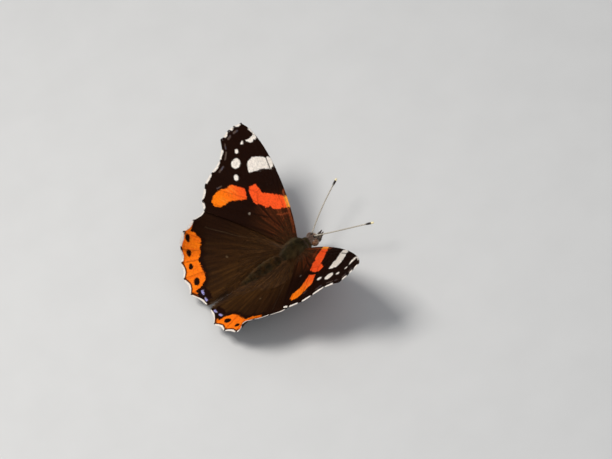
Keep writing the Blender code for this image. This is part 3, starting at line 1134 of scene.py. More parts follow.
    def hair(self) -> Shell:
        """Build the long silky hair that lies over the inner part of the wing, pointing outwards."""
        span, chord, length, tone = self.hair_span()
        flat, here, outwards, normal = self.frame(span, chord)
        turn = self.rng.normal(self.hair_turn(span, chord), 0.1)
        lean = 0.08 + self.fluff * ramp(chord, 0.85, 1.0) * self.rng.random(len(span))
        ways = swung(outwards, normal, turn)
        roots = here + normal * (self.half_thickness(flat) + 0.03)[:, None]
        clump = self.streaks(flat, 34.0, self.seed)
        tone = tone * (self.rng.uniform(0.6, 1.35, len(span)) * (0.45 + 1.1 * clump))[:, None]
        homes = self.home(flat)
        return LOCK.grow(roots, ways, normal, length, 0.06, 0.04, lean, 0.5 * lean, tone, homes, tip=0.35)

    def build(self) -> None:
        """Make the wing's pieces: the membrane, a coat on each side, the fringe and the long hair."""
        end = f"{self.label}_{self.side.label}"
        set_out(f"membrane_{end}", self.skin(), MEMBRANE, [end], self.side, smooth=True)
        for face in Face:
            set_out(f"scales_{face.label}_{end}", self.coat(face), SCALES, (), self.side)
        set_out(f"fringe_{end}", self.fringe(), SCALES, (), self.side)
        set_out(f"long_hair_{end}", self.hair(), HAIR, (), self.side)


@dataclass
class ForeWing(Wing):
    """A forewing: black tip with white marks, vermilion band, brown base."""

    label: str = "forewing"
    slot: str = "forewing_scales"
    tips: Points = (
        (28.55, 5.85), (29.05, 3.95), (29.2, 2.35), (28.9, -0.3), (25.5, -3.25), (24.6, -6.6), (23.6, -9.5),
        (21.3, -12.25), (19.4, -13.2),
    )
    breaks: Points = (
        (0, 0.4), (1, 0.24), (2, 0.4), (3.13, 1.5), (4, 0.2), (5, 0.28), (6.07, 0.62), (7, 0.3),
        (8, 0.4),
    )
    scallops: tuple[float, ...] = (0.1, 0.14, 0.2, 0.3, 0.1, -0.05, 0.1, 0.1)
    membrane_lift: float = -0.08
    unwrap_origin: Point = (0.0, -16.0)
    seed: int = 11
    veins: tuple[Points, ...] = (
        ((1.7, 0.8), (7.5, 3.35), (12.5, 5.2), (15.2, 6.25)),
        ((1.7, 0.5), (7.5, 2.4), (13, 3.75), (19, 4.3), (25.2, 4.05), (28.9, 3.95)),
        ((11, 3.3), (14.5, 5.1), (17.8, 6.6)),
        ((14, 3.85), (17.5, 5.5), (20.8, 6.9)),
        ((18.5, 4.3), (22, 5.7), (25.3, 6.75)),
        ((18.6, 4.3), (22, 3.2), (25, 2.5), (29, 2.35)),
        ((14.6, 3.8), (19.5, 2.35), (23.6, 0.75), (28.6, -0.3)),
        ((15.2, 2), (17.6, 0.8), (20.6, -1.2), (25.3, -3.2)),
        ((14.9, -0.2), (18, -2.6), (21.5, -4.8), (24.4, -6.5)),
        ((13, -1.3), (16.5, -4), (20, -6.9), (23.4, -9.4)),
        ((9, -1.1), (13, -4.9), (17.2, -8.8), (21.1, -12.1)),
        ((1.7, -0.1), (5, 0), (9, -1.1), (13, -1.3), (14.9, -0.2)),
        ((14.6, 3.8), (15.2, 2), (14.9, -0.2)),
        ((1.7, -0.75), (7, -3.6), (13, -8.2), (19.2, -13)),
    )
    bar: Patch = Patch(
        (
            (19.2, 6.8), (18.7, 6.95), (17.5, 6.75), (16.9, 6.3), (16.8, 5.6), (17.5, 4.65), (18.1, 3.8),
            (18.3, 2.85), (18.75, 1.8), (19.15, 0.95), (19.6, 0.9), (20.65, 1.55), (21.2, 2.25),
            (21.3, 3.4), (20.55, 4.75), (19.75, 5.8), (19.3, 6.1),
        ),
        ragged=0.07,
        soft=0.06,
    )
    bar_line: Stroke = Stroke(((19.5, 6.25), (18.7, 5.95), (16.9, 5.4)), 0.09, 0.06)
    sub_tip: Patch = Patch(
        (
            (25.1, 4.5), (24.8, 5.4), (24.75, 6.2), (24.9, 6.6), (24.65, 6.95), (24.05, 6.9), (23.85, 6.6),
            (23.95, 6.1), (23.8, 5.75), (24, 5.2), (24.55, 4.7),
        ),
        ragged=0.04,
        soft=0.05,
    )
    edge_line: Stroke = Stroke(((24.0, 6.95), (25.3, 6.98), (26.4, 6.72)), 0.15)
    dots: tuple[Spot, ...] = (
        Spot((25.1, 3.55), (0.42, 0.3), 78),
        Spot((24.4, 1.35), (0.5, 0.42), 45),
        Spot((22.5, -0.5), (1.16, 0.98), 80),
        Spot((20.15, -2.3), (0.62, 0.53), 20),
    )
    band_front: Patch = Patch(
        (
            (10.2, 5.4), (10.4, 4.6), (11.2, 3.9), (12.9, 2.1), (14.1, 0.65), (15.4, 0.7), (16.45, 0.5),
            (16.8, -1.15), (15.7, -1.9), (13.9, -2.2), (12.9, -1.95), (12.2, -0.95), (11.2, -0.55),
            (10.8, 0.5), (9.8, 0.75), (9.2, 1.7), (8.7, 3), (8, 4), (8, 4.9),
        )
    )
    band_rear: Patch = Patch(
        (
            (17.05, -2.1), (18, -2.8), (19.7, -4.3), (19.75, -5.4), (20.4, -7.2), (20.3, -9),
            (19.5, -10.3), (18.3, -10.2), (17.5, -9.4), (17.2, -8.1), (17.1, -6.5), (16.4, -5.3),
            (15.5, -3.9), (15.1, -3.1),
        )
    )
    dim_line: Stroke = Stroke(((8.6, 0.65), (7.9, 1.5), (7.3, 2.9)), 0.16)
    grey_marks: tuple[Stroke, ...] = (
        Stroke(((27.6, 4.2), (27.75, 3.3)), 0.2),
        Stroke(((27.72, 2.15), (27.6, 1.45)), 0.22),
        Stroke(((27.2, 0.1), (26.3, -0.4)), 0.13),
        Stroke(((25.7, -0.8), (24.7, -1.9)), 0.18),
        Stroke(((23.7, -3.3), (23.4, -4.8)), 0.17),
        Stroke(((20.75, -6.3), (20.95, -7.4)), 0.12),
    )
    cell_marks: tuple[Stroke, ...] = (
        Stroke(((3.5, 1.9), (3.8, 1.2), (3.5, 0.4)), 0.1),
        Stroke(((5.9, 2.7), (6.5, 1.9), (6.1, 1), (6.4, 0.3)), 0.13),
        Stroke(((9.3, 3.3), (8.8, 2.5), (9.5, 1.4), (9.1, 0.4)), 0.16),
        Stroke(((13, 4.2), (13.2, 3.3), (14.3, 2.4), (14.1, 1.2)), 0.2),
    )
    pale_dot: Spot = Spot((12.45, -4.6), (0.3, 0.26))
    eye_spots: tuple[tuple[Point, float], ...] = (
        ((25.3, -0.6), 0.45), ((26.2, 1.6), 0.35), ((23.6, -4.6), 0.4),
    )

    def front(self, span: Array) -> Array:
        """Give the costa as a Bezier curve from the root to the tip."""
        return bezier(((1.5, 0.9), (7.5, 5.2), (23.8, 9.7), self.tips[0]), span)

    def rear(self, span: Array) -> Array:
        """Give the rear edge as a straight run that bows back by half a millimetre's sine."""
        root = np.array((1.4, -1.2))
        line = root + span[..., None] * (np.array(self.tips[-1]) - root)
        line[..., 1] += 0.5 * np.sin(math.pi * np.clip(span, 0.0, 1.0))
        return line

    def height(self, out: Array, ahead: Array) -> Array:
        """Give the forewing's height surface."""
        return fore_height(out, ahead)

    def covered(self, flat: Array, face: Face) -> Array:
        """Say which places of the under side lie deep over the hindwing, behind a straight line."""
        behind = -flat[:, 1] - 0.45 * flat[:, 0]
        return (face is Face.UNDER) & (behind > 1.2) & (flat[:, 0] < 16.5)

    def band(self, flat: Array) -> Arrays:
        """Give the band's pigment and share.

        Args:
            flat: Flat places.

        Returns:
            Vermilion that turns orange towards the rear corner and amber at the costa, and how far
            each place belongs to the band.
        """
        ahead = flat[:, 1]
        tone = blend(Hue.vermilion, Hue.orange, ramp(-ahead, 1.5, 9.0))
        rib = ramp(1.0 - distance_to(flat, [self.front(np.linspace(0.2, 0.5, 8))]), 0.0, 0.5)
        tone = blend(tone, Hue.amber, rib)
        flames = self.streaks(flat, 70.0, 5)
        tone = blend(tone, Hue.amber, 0.35 * ramp(flames, 0.62, 0.95) * ramp(-ahead, 2.0, 6.0))
        share = np.maximum(self.band_front.share(flat, 3), self.band_rear.share(flat, 4))
        return tone, share

    def upper(self, places: Array) -> Array:
        """Give the upper side's pigment: brown base, soot tip, then the marks in order."""
        reach = self.from_hub(places)
        ray = self.streaks(places, 24.0, 7)
        fine = self.streaks(places, 80.0, 6)
        gap = distance_to(places, self.vein_paths)
        warm = ramp(places[:, 1] + 0.25 * places[:, 0], -3.0, 2.5)
        base = blend(Hue.umber, Hue.chestnut, (0.1 + 0.8 * warm) * ray)
        base = blend(base, Hue.rust, 0.3 * warm * ramp(fine, 0.55, 0.9) * ramp(ray, 0.3, 0.7))
        base = base * (0.6 + 0.45 * ray + 0.3 * fine)[:, None]
        base = blend(base, Hue.soot, ramp(reach + 2.4 * (ray - 0.5), 7.0, 13.0))
        base = blend(base, Hue.soot, 0.8 * bell(gap, 0.2))
        rib = distance_to(places, [self.front(np.linspace(0.02, 0.36, 8))])
        base = blend(base, Hue.rust, ramp(0.35 - np.abs(rib - 0.55), 0.0, 0.25) * (0.3 + 0.5 * fine))
        dusty = blend(Hue.slate, Hue.fawn, ramp(value_noise(places * 1.1, 11), 0.35, 0.6))
        for mark in self.grey_marks:
            base = blend(base, dusty, 0.5 * mark.share(places, 8))
        base = blend(base, Hue.mist, 0.6 * self.pale_dot.share(places, 9))
        base = blend(base, Hue.rust, 0.42 * self.dim_line.share(places, 10))
        tone, share = self.band(places)
        tone = tone * (1.0 - 0.3 * bell(gap, 0.1))[:, None]
        base = blend(base, tone, share)
        white = self.bar.share(places, 12) * (1.0 - 0.95 * self.bar_line.share(places, 13))
        white = np.maximum(white, self.sub_tip.share(places, 14))
        white = np.maximum(white, 0.95 * self.edge_line.share(places, 15))
        for number, dot in enumerate(self.dots):
            white = np.maximum(white, dot.share(places, 20 + number))
        return blend(base, Hue.chalk, white)

    def under(self, places: Array) -> Array:
        """Give the under side's pigment: rosy band, blue rings in the cell, white marks and a marbled tip."""
        out, ahead = places.T
        base = blend(Hue.soot, Hue.tan * 0.55, ramp(-ahead - 0.35 * out, 0.6, 3.4))
        tone, share = self.band(places)
        base = blend(base, blend(tone, Hue.rose, 0.6), share)
        cell = ramp(4.6 - np.abs(out - 6.2), 0.0, 0.8) * ramp(1.6 - np.abs(ahead - 1.1), 0.0, 0.5)
        base = blend(base, Hue.rose * 0.7, 0.55 * cell)
        for number, mark in enumerate(self.cell_marks):
            halo = replace(mark, half_width=mark.half_width + 0.32)
            base = blend(base, Hue.soot, 0.85 * halo.share(places, 28 + number))
            base = blend(base, Hue.azure, 0.8 * mark.share(places, 28 + number))
        rib = distance_to(places, [self.front(np.linspace(0.02, 0.6, 12))])
        fleck = ramp(value_noise(places * 1.5, 26), 0.5, 0.62) * ramp(0.7 - rib, 0.0, 0.2)
        base = blend(base, Hue.sand, 0.7 * fleck)
        marble = value_noise(places * (0.9, 0.6), 32) * 0.5 + value_noise(places * 2.4, 33) * 0.5
        tip = ramp(out + 0.25 * ahead, 22.6, 24.6)
        bark = blend(Hue.bronze * 0.75, Hue.sand, ramp(marble, 0.42, 0.7))
        bark = blend(bark, Hue.umber, ramp(marble, 0.45, 0.2))
        base = blend(base, bark, tip)
        for number, (spot, pupil) in enumerate(self.eye_spots):
            base = blend(base, Hue.umber, tip * Spot(spot, (0.8, 0.8)).share(places, 36 + number))
            base = blend(base, Hue.azure, 0.8 * Spot(spot, (pupil, pupil)).share(places, 39 + number))
        white = np.maximum(self.bar.share(places, 42), 0.9 * self.dots[2].share(places, 43))
        white = np.maximum(white, 0.8 * self.sub_tip.share(places, 44))
        base = blend(base, Hue.chalk, white)
        gap = distance_to(places, self.vein_paths)
        return blend(base, Hue.umber, 0.5 * bell(gap, 0.12))

    def hair_span(self) -> Arrays:
        """Give the hair of the forewing's root: short, dark, thinning outwards."""
        count = 1500
        span = 0.01 + 0.2 * self.rng.random(count) ** 1.4
        chord = 0.06 + 0.9 * self.rng.random(count)
        length = self.rng.uniform(0.6, 1.2, count) * (1.1 - 1.6 * span)
        tone = blend(Hue.umber, Hue.bronze, self.rng.random(count) * 0.5)
        return span, chord, length, tone


@dataclass
class HindWing(Wing):
    """A hindwing: dark brown with an orange border, black dots and blue spots by the rear corner."""

    label: str = "hindwing"
    slot: str = "hindwing_scales"
    hub: Point = (1.7, -2.6)
    tips: Points = (
        (19.9, -12.7), (18.9, -16.75), (17.5, -20.35), (15.3, -23.05), (13.7, -24.7), (10.2, -26.45),
        (5.9, -27.3), (1.1, -25.65),
    )
    breaks: Points = tuple((float(tip), 0.24) for tip in range(8))
    scallops: tuple[float, ...] = (0.12, 0.1, 0.05, 0.1, 0.28, 0.46, 0.28)
    membrane_lift: float = 0.12
    unwrap_origin: Point = (-4.0, -29.0)
    seed: int = 12
    fluff: float = 0.55
    veins: tuple[Points, ...] = (
        ((1.7, -2.2), (8, -2.6), (14, -5.5), (19.6, -9.5)),
        ((1.7, -2.7), (8, -6), (13.5, -8.8), (19.6, -12.6)),
        ((8.4, -6.4), (13, -11.5), (18.6, -16.6)),
        ((8.9, -8.2), (12.8, -13.6), (17.2, -20.1)),
        ((8.4, -10.6), (11.6, -16.4), (15.1, -22.8)),
        ((7.6, -11.4), (10.2, -17.3), (13.5, -24.4)),
        ((5.4, -9.6), (7.4, -17), (10.1, -26.1)),
        ((1.7, -3.2), (3.9, -10.5), (4.9, -18.5), (5.8, -27)),
        ((1.7, -3.6), (2.7, -10.5), (2.3, -18), (1.2, -25.2)),
        ((1.8, -3), (5.4, -9.6), (7.6, -11.4)),
        ((8.4, -6.4), (8.9, -8.2), (8.4, -10.6), (7.6, -11.4)),
    )
    fold: Points = (
        (1.25, -3.2), (0.9, -4.8), (1.35, -6.6), (1.65, -9), (1.45, -12), (0.9, -15), (0.36, -17.3),
        (0.28, -21.7), (0.62, -25.1), (1.1, -25.65),
    )
    border: Patch = Patch(
        (
            (19.6, -16.2), (18.5, -16.6), (17.3, -18.3), (16.5, -17.7), (15.6, -17.6), (14.7, -17.4),
            (13.8, -18.7), (12.8, -19.1), (11.9, -20.5), (10.7, -20.9), (8.4, -21.4), (7.2, -21.8),
            (6.4, -22.7), (5.9, -24.2), (5.6, -25.5), (3.4, -25.9), (1.5, -25.3), (1.2, -26.6),
            (6, -28.6), (11, -28), (15.5, -25.5), (19, -21),
        ),
        ragged=0.2,
    )
    dots: tuple[Spot, ...] = (
        Spot((16.1, -19.95), (0.9, 0.44), 41),
        Spot((13.93, -21.65), (0.6, 0.5), 60),
        Spot((11.55, -23), (0.68, 0.55), 40),
        Spot((7.65, -24), (1, 0.72), 28),
    )
    rear_black: Patch = Patch(
        ((5.75, -24.6), (5.2, -23.1), (3.4, -22.9), (1.2, -23.4), (0.9, -25), (3.2, -25.35), (5.2, -25.4))
    )
    blue: tuple[Spot, ...] = (
        Spot((4.45, -24.35), (0.62, 0.3), 10),
        Spot((2.3, -24.7), (0.7, 0.22), 8),
    )
    light_line: Stroke = Stroke(((3.9, -1.9), (9.5, -8.5), (13.0, -11.7), (16.6, -14.9)), 0.06)
    pale_dot: Spot = Spot((8.25, -14.7), (0.26, 0.22))
    costa_patch: Spot = Spot((12.5, -5.4), (2.2, 1.1), -30.0)
    eye_spots: Points = ((15.2, -18.6), (13.0, -20.4), (10.6, -21.9), (7.2, -22.9))

    def front(self, span: Array) -> Array:
        """Give the front edge as a Bezier curve that lies under the forewing."""
        return bezier(((1.4, -0.7), (8.0, -1.2), (20.5, -7.5), self.tips[0]), span)

    def rear(self, span: Array) -> Array:
        """Give the rear edge, folded along the abdomen."""
        return curve_at(self.fold, np.clip(span, -0.05, 1.0) * (len(self.fold) - 1))

    def height(self, out: Array, ahead: Array) -> Array:
        """Give the hindwing's height surface.

        It is a sheet that rises outwards, pressed below the forewing where that covers it, its outer
        corner lifted by the square of the distance past a start, inside a window of bearings.
        """
        free = -0.7 + 0.08 * out + 0.012 * out * out + 0.0075 * out * (ahead + 24.0)
        run = np.array((16.85, -11.95))
        behind = ((ahead + 1.25) * run[0] - (out - 2.55) * run[1]) / np.hypot(*run)
        excess = free - (fore_height(out, ahead) - 0.95)
        pressed = ramp(behind, -2.0, 0.0) * 0.5 * (excess + np.hypot(excess, 0.2))
        reach = np.hypot(out - 2.0, ahead + 2.0)
        bearing = np.degrees(np.arctan2(ahead + 2.0, out - 2.0))
        window = ramp(bearing, -62.0, -54.0) * (1.0 - ramp(bearing, -44.0, -30.0))
        return free - pressed + 2.7 * np.clip((reach - 18.5) / 5.5, 0.0, 2.0) ** 2 * window

    def upper(self, places: Array) -> Array:
        """Give the upper side's pigment: brown rays, a black edge, the orange border and its spots."""
        gap = distance_to(places, self.vein_paths)
        ray = self.streaks(places, 30.0, 51)
        fine = self.streaks(places, 90.0, 50)
        inner = ramp(places[:, 0], 11.0, 2.0)
        base = blend(Hue.umber, Hue.bronze, (0.15 + 0.35 * ray) * inner + 0.25 * fine)
        base = base * (0.6 + 0.45 * ray)[:, None]
        near = depth_inside(places, np.array(self.border.outline))
        near = near + 0.6 * (value_noise(places * 1.1, 52) - 0.5)
        reach = self.from_hub(places)
        front = ramp(places[:, 0] + 0.6 * places[:, 1], 2.5, 7.0) * ramp(reach, 8.0, 17.0)
        base = blend(base, Hue.soot, np.maximum(0.95 * ramp(near, -1.7, -0.5), 0.8 * front))
        base = blend(base, Hue.sand, 0.1 * self.light_line.share(places, 49) * ramp(reach, 4.0, 12.0))
        tone = blend(Hue.orange, Hue.vermilion, 0.3 * fine)
        tone = tone * (0.88 + 0.2 * ray)[:, None] * (1.0 - 0.35 * bell(gap, 0.1))[:, None]
        base = blend(base, tone, self.border.share(places, 54))
        margin, where = nearest_on(places, self.edge)
        line = ramp(0.7 + self.fringe_reach(where) - margin, 0.0, 0.12)
        line = line * (0.22 + 0.68 * ramp(where, 40.0, 50.0))
        corner = np.linalg.norm(places[:, None] - np.array(self.tips)[None], axis=2).min(axis=1)
        edging = np.maximum(line, ramp(0.85 - corner, 0.0, 0.25))
        base = blend(base, Hue.soot, edging)
        base = blend(base, Hue.soot, self.rear_black.share(places, 55))
        shine = blend(Hue.slate, Hue.lilac, ramp(value_noise(places * 3.0, 58), 0.2, 0.5))
        shine = blend(shine, Hue.chalk, 0.6 * ramp(value_noise(places * 3.4, 59), 0.6, 0.8))
        for number, spot in enumerate(self.blue):
            base = blend(base, shine, 0.9 * spot.share(places, 56 + number))
        for number, dot in enumerate(self.dots):
            base = blend(base, Hue.soot, dot.share(places, 60 + number))
        return blend(base, Hue.sand, 0.22 * self.pale_dot.share(places, 65))

    def covered(self, flat: Array, face: Face) -> Array:
        """Say which places of the upper side lie deep under the forewing, in front of its rear edge."""
        run = np.array((17.7, -12.45))
        before = ((flat[:, 1] + 0.75) * run[0] - (flat[:, 0] - 1.7) * run[1]) / np.hypot(*run)
        return (face is Face.UPPER) & (before > 1.2)

    def under(self, places: Array) -> Array:
        """Give the under side's pigment: bark-like marbling, a pale patch in front and faint eye-spots."""
        reach = self.from_hub(places)
        warp = 1.5 * (value_noise(places * 0.45, 71) - 0.5) + 0.9 * (value_noise(places * 1.3, 72) - 0.5)
        zones = 0.5 + 0.5 * np.cos((reach + 1.6 * warp) * TURN / 5.2)
        lines = 0.5 + 0.5 * np.cos((reach + warp) * TURN / 0.85)
        fine = value_noise(places * 2.2, 73)
        grain = value_noise(places * (0.75, 0.6), 70)
        base = blend(Hue.umber * 0.9, Hue.bronze * 0.85, ramp(grain, 0.3, 0.7))
        base = blend(base, Hue.soot, 0.75 * ramp(zones * 0.7 + fine * 0.3, 0.55, 0.8))
        patch = 0.6 * grain + 0.4 * value_noise(places * 1.6, 69) + 0.2 * fine - 0.3 * zones
        grey = ramp(value_noise(places * 0.9, 68), 0.5, 0.7)
        base = blend(base, Hue.soot, 0.9 * ramp(0.07 - np.abs(patch - 0.36), 0.0, 0.05))
        base = blend(base, blend(Hue.sand * 0.75, Hue.slate, 0.7 * grey), 0.75 * ramp(patch, 0.42, 0.48))
        base = blend(base, Hue.soot, 0.5 * ramp(lines, 0.55, 0.95))
        base = blend(base, Hue.ivory * 0.85, 0.7 * self.costa_patch.share(places, 74))
        margin = distance_to(places, [self.edge])
        base = blend(base, Hue.slate, 0.5 * ramp(0.5 - np.abs(margin - 2.3 + 0.5 * fine), 0.0, 0.35))
        base = blend(base, Hue.tan * 0.8, 0.6 * ramp(0.35 - np.abs(margin - 1.2), 0.0, 0.2))
        for number, centre in enumerate(self.eye_spots):
            base = blend(base, Hue.soot, 0.85 * Spot(centre, (1.05, 0.9)).share(places, 75 + number))
            base = blend(base, Hue.olive * 1.4, 0.7 * Spot(centre, (0.65, 0.55)).share(places, 80 + number))
            base = blend(base, Hue.azure, 0.5 * Spot(centre, (0.26, 0.2)).share(places, 85 + number))
        gap = distance_to(places, self.vein_paths)
        return blend(base, Hue.soot, 0.5 * bell(gap, 0.13))

    def hair_span(self) -> Arrays:
        """Give the hindwing's hair: long, brown, thickest by the body, a pale wisp at the rear corner."""
        count, slot = 4200, 1500
        chord = np.append(self.rng.random(count) ** 0.6, self.rng.uniform(0.95, 1.0, slot))
        count += slot
        fold = ramp(chord, 0.8, 1.0)
        span = 0.03 + (0.3 + 0.2 * chord + 0.36 * fold) * self.rng.random(count)
        span[-slot:] = self.rng.uniform(0.46, 0.86, slot)
        length = self.rng.uniform(0.8, 1.6, count) * (1.0 - 0.45 * ramp(span, 0.7, 0.9))
        tone = blend(Hue.umber, Hue.bronze, self.rng.random(count) * 0.75)
        pale = ramp(chord, 0.975, 0.99) * ramp(span, 0.72, 0.8)
        tone = blend(tone, Hue.mist, 0.55 * pale * (self.rng.random(count) < 0.35))
        return span, chord, length, tone

    def hair_turn(self, span: Array, chord: Array) -> Array:
        """Swing the hair behind the abdomen towards the midline, over the slot between the wings."""
        return -0.6 * ramp(chord, 0.94, 0.99) * ramp(span, 0.42, 0.6)


# ---- body


@dataclass
class Body:
    """Head, thorax and abdomen: one skin through stations along the body, and its coats of hair."""

    stations: Points = (
        (5.02, 0.3, 0.4, -0.74), (4.9, 0.62, 0.8, -0.7), (4.5, 0.85, 1.12, -0.67), (3.9, 0.9, 1.16, -0.66),
        (3.4, 0.8, 1.02, -0.68), (3, 0.78, 0.95, -0.68), (2.6, 1.02, 1.12, -0.64),
        (1.9, 1.38, 1.5, -0.54), (0.7, 1.72, 1.92, -0.36), (-1, 1.78, 1.96, -0.3),
        (-2.9, 1.48, 1.62, -0.48), (-4.1, 0.98, 1.08, -0.64), (-4.7, 0.86, 0.92, -0.7),
        (-5.8, 1.38, 1.44, -0.73), (-8.3, 1.72, 1.74, -0.76), (-11, 1.58, 1.6, -0.79),
        (-13.6, 1.05, 1.1, -0.75), (-15.6, 0.56, 0.58, -0.69), (-16.4, 0.2, 0.22, -0.66),
    )
    ring_count: int = 8
    waist: float = -4.7
    abdomen_length: float = 11.7
    groove: float = 0.05
    seed: int = 41

    def __post_init__(self) -> None:
        """Start the body's own random draws and measure its girth along the stations."""
        self.rng = np.random.default_rng(self.seed)
        self.reach = np.linspace(0.0, len(self.stations) - 1.0, 400)
        table = curve_at(self.stations, self.reach)
        self.ahead = table[:, 0]
        self.girth = table[:, 1] + table[:, 2]

    def ringed(self, ahead: Array) -> Array:
        """Give a cosine that peaks between the rings of the abdomen."""
        return np.cos(TURN * self.ring_count * (ahead - self.waist) / self.abdomen_length)

    def lay(self, place: Array, turn: Array) -> Array:
        """Give points on the skin.

        Args:
            place: Where along the stations, from 0 at the face.
            turn: Share of a turn round the body, from its left side upwards.

        Returns:
            Points on an ellipse of the station's half width and height, pinched between the rings of
            the abdomen by a cosine.
        """
        ahead, wide, tall, centre = curve_at(self.stations, place).T
        angle = TURN * turn
        pinch = 1.0 - self.groove * ramp(-ahead, 5.0, 6.0) * np.clip(self.ringed(ahead), 0.0, 1.0) ** 2
        return np.column_stack([wide * pinch * np.cos(angle), ahead, centre + tall * pinch * np.sin(angle)])

    def frame(self, place: Array, turn: Array) -> Arrays:
        """Give the skin with its directions, from differences over a small step.

        Args:
            place: Where along the stations.
            turn: Share of a turn round the body.

        Returns:
            Points, unit directions towards the tail and unit normals outwards.
        """
        step = 0.004
        here = self.lay(place, turn)
        back = unit(self.lay(place + step, turn) - self.lay(place - step, turn))
        normal = unit(np.cross(back, self.lay(place, turn + step) - self.lay(place, turn - step)))
        outside = np.column_stack([here[:, 0], np.zeros(len(here)), here[:, 2] + 0.65])
        normal *= np.sign((normal * outside).sum(1))[:, None]
        return here, back, normal

    def pigments(self, points: Array) -> Array:
        """Give the body's pigment: olive thorax, umber abdomen with paler ring edges, grey-brown head."""
        out, ahead, up = points.T
        patchy = value_noise(points * 1.1, 91)
        thorax = blend(Hue.umber * 0.8, Hue.olive, 0.15 + 0.75 * patchy)
        flank = ramp(np.abs(out), 0.9, 1.7)
        thorax = blend(thorax, Hue.bronze, 0.6 * flank)
        ring = 0.5 + 0.5 * self.ringed(ahead)
        brown = blend(Hue.olive * 0.9, Hue.bronze, value_noise(points * 1.5, 92))
        abdomen = blend(Hue.soot * 1.5, brown, 0.3 + 0.6 * patchy + 0.15 * ring**3)
        tone = blend(thorax, abdomen, ramp(-ahead, 3.4, 5.2))
        head = blend(Hue.umber * 1.5, Hue.fawn * 1.15, 0.38 + 0.55 * patchy)
        tone = blend(tone, head, ramp(ahead, 2.2, 2.9))
        face = ramp(ahead, 4.45, 4.75) * ramp(0.75 - np.abs(out), 0.0, 0.3)
        tone = blend(tone, Hue.mist * 1.15, 0.85 * face)
        belly = ramp(-up, 1.3, 2.3)
        return blend(tone, Hue.tan, 0.6 * belly)

    def skin(self, rows: int = 150, columns: int = 56) -> Shell:
        """Build the one skin under the hair, closed at the face and the tail."""
        along = np.linspace(0.0, len(self.stations) - 1.0, rows)
        place, turn = np.meshgrid(along, np.arange(columns) / columns, indexing="ij")
        points = self.lay(place.ravel(), turn.ravel())
        points = np.vstack([points, points[:columns].mean(0), points[-columns:].mean(0)])
        quads, fans = grid_quads(rows, columns, ring=True), caps(rows, columns)
        return Shell(points, quads[:, ::-1], fans[:, (0, 2, 1)], self.pigments(points) * 0.7)

    def roots(self, count: int, front: float, back: float) -> Arrays:
        """Scatter roots evenly over a stretch of the body.

        Args:
            count: How many.
            front: Where the stretch starts, forwards of the hinge.
            back: Where it ends.

        Returns:
            Place along the stations and share of a turn: equal steps of skin area along the body, and
            a golden-ratio turn from each root to the next, both a little shaken.
        """
        inside = (self.ahead <= front) & (self.ahead >= back)
        area = np.cumsum(np.where(inside, self.girth * np.abs(np.gradient(self.ahead)), 0.0))
        order = (np.arange(count) + self.rng.random(count)) / count
        place = np.interp(order * area[-1], area, self.reach)
        turn = (np.arange(count) * GOLDEN_TURN + self.rng.normal(0.0, 0.004, count)) % 1.0
        return place, turn

    def coat(
        self, count: int, front: float, back: float, length: float, width: float, tilt: float,
        forwards: bool, bands: Points = ((0.5, 1.0),), fan: float = 0.0,
    ) -> Shell:
        """Build the hair of one stretch of the body.

        Args:
            count: How many locks.
            front: Where the stretch starts.
            back: Where it ends.
            length: Mean length of a lock.
            width: Width of a lock.
            tilt: Mean lean away from the skin, in radians.
            forwards: Whether it lies towards the face instead of the tail.
            bands: Middle and breadth of each band that is covered, in shares of a turn round the body.
            fan: Mean swing away from the midline, in radians.

        Returns:
            The locks.
        """
        place, turn = self.roots(count, front, back)
        middle, breadth = np.array(bands)[np.arange(count) % len(bands)].T
        turn = (middle + breadth * (turn - 0.5)) % 1.0
        here, back_way, normal = self.frame(place, turn)
        ways = -back_way if forwards else back_way
        clump = value_noise(here * 1.7, self.seed)
        swing = self.rng.normal(0.0, 0.16, count) + 0.9 * (clump - 0.5) + fan * np.sign(here[:, 0])
        ways = swung(ways, normal, swing)
        size = length * self.rng.uniform(0.7, 1.3, count)
        shade = 0.45 + 1.15 * value_noise(here * 2.3, self.seed + 1)
        tone = self.pigments(here) * (self.rng.uniform(0.7, 1.3, count) * shade)[:, None]
        homes = np.column_stack([0.02 + 0.96 * place / (len(self.stations) - 1.0), 0.01 + 0.98 * turn])
        lean = np.clip(self.rng.normal(tilt, 0.08, count), 0.03, 1.2)
        roots = here - normal * 0.03
        bend = 0.25 * lean
        return LOCK.grow(roots, ways, normal, size, width, width * 0.8, lean, bend, tone, homes, tip=0.4)

    def build(self) -> None:
        """Make the skin and its three coats, each of one or more stretches."""
        set_out("body_skin", self.skin(), CUTICLE, ["head", "thorax", "abdomen"], smooth=True)
        coats = {
            "thorax": (
                (12400, 2.9, -4.6, 1.05, 0.048, 0.28, False),
                (4300, 2.2, -4.3, 1.8, 0.05, 0.42, False, ((0.04, 0.22), (0.46, 0.22)), 0.6),
            ),
            "abdomen": ((12000, -4.2, -16.3, 0.95, 0.052, 0.3, False),),
            "head": (
                (3000, 4.3, 2.9, 0.5, 0.045, 0.6, False),
                (1800, 5.0, 4.1, 0.42, 0.04, 0.5, True),
                (2000, 3.3, 1.9, 0.95, 0.045, 0.6, True),
                (1000, 4.8, 3.7, 0.85, 0.045, 1.0, True, ((0.75, 0.22),)),
                (1300, 5.0, 4.5, 0.8, 0.045, 1.05, True, ((0.25, 0.5),)),
                (800, 5.02, 4.6, 0.45, 0.04, 0.9, True, ((0.75, 0.5),)),
            ),
        }
        for name, stretches in coats.items():
            coat = Shell.joined([self.coat(*stretch) for stretch in stretches])
            set_out(f"hair_{name}", coat, HAIR)


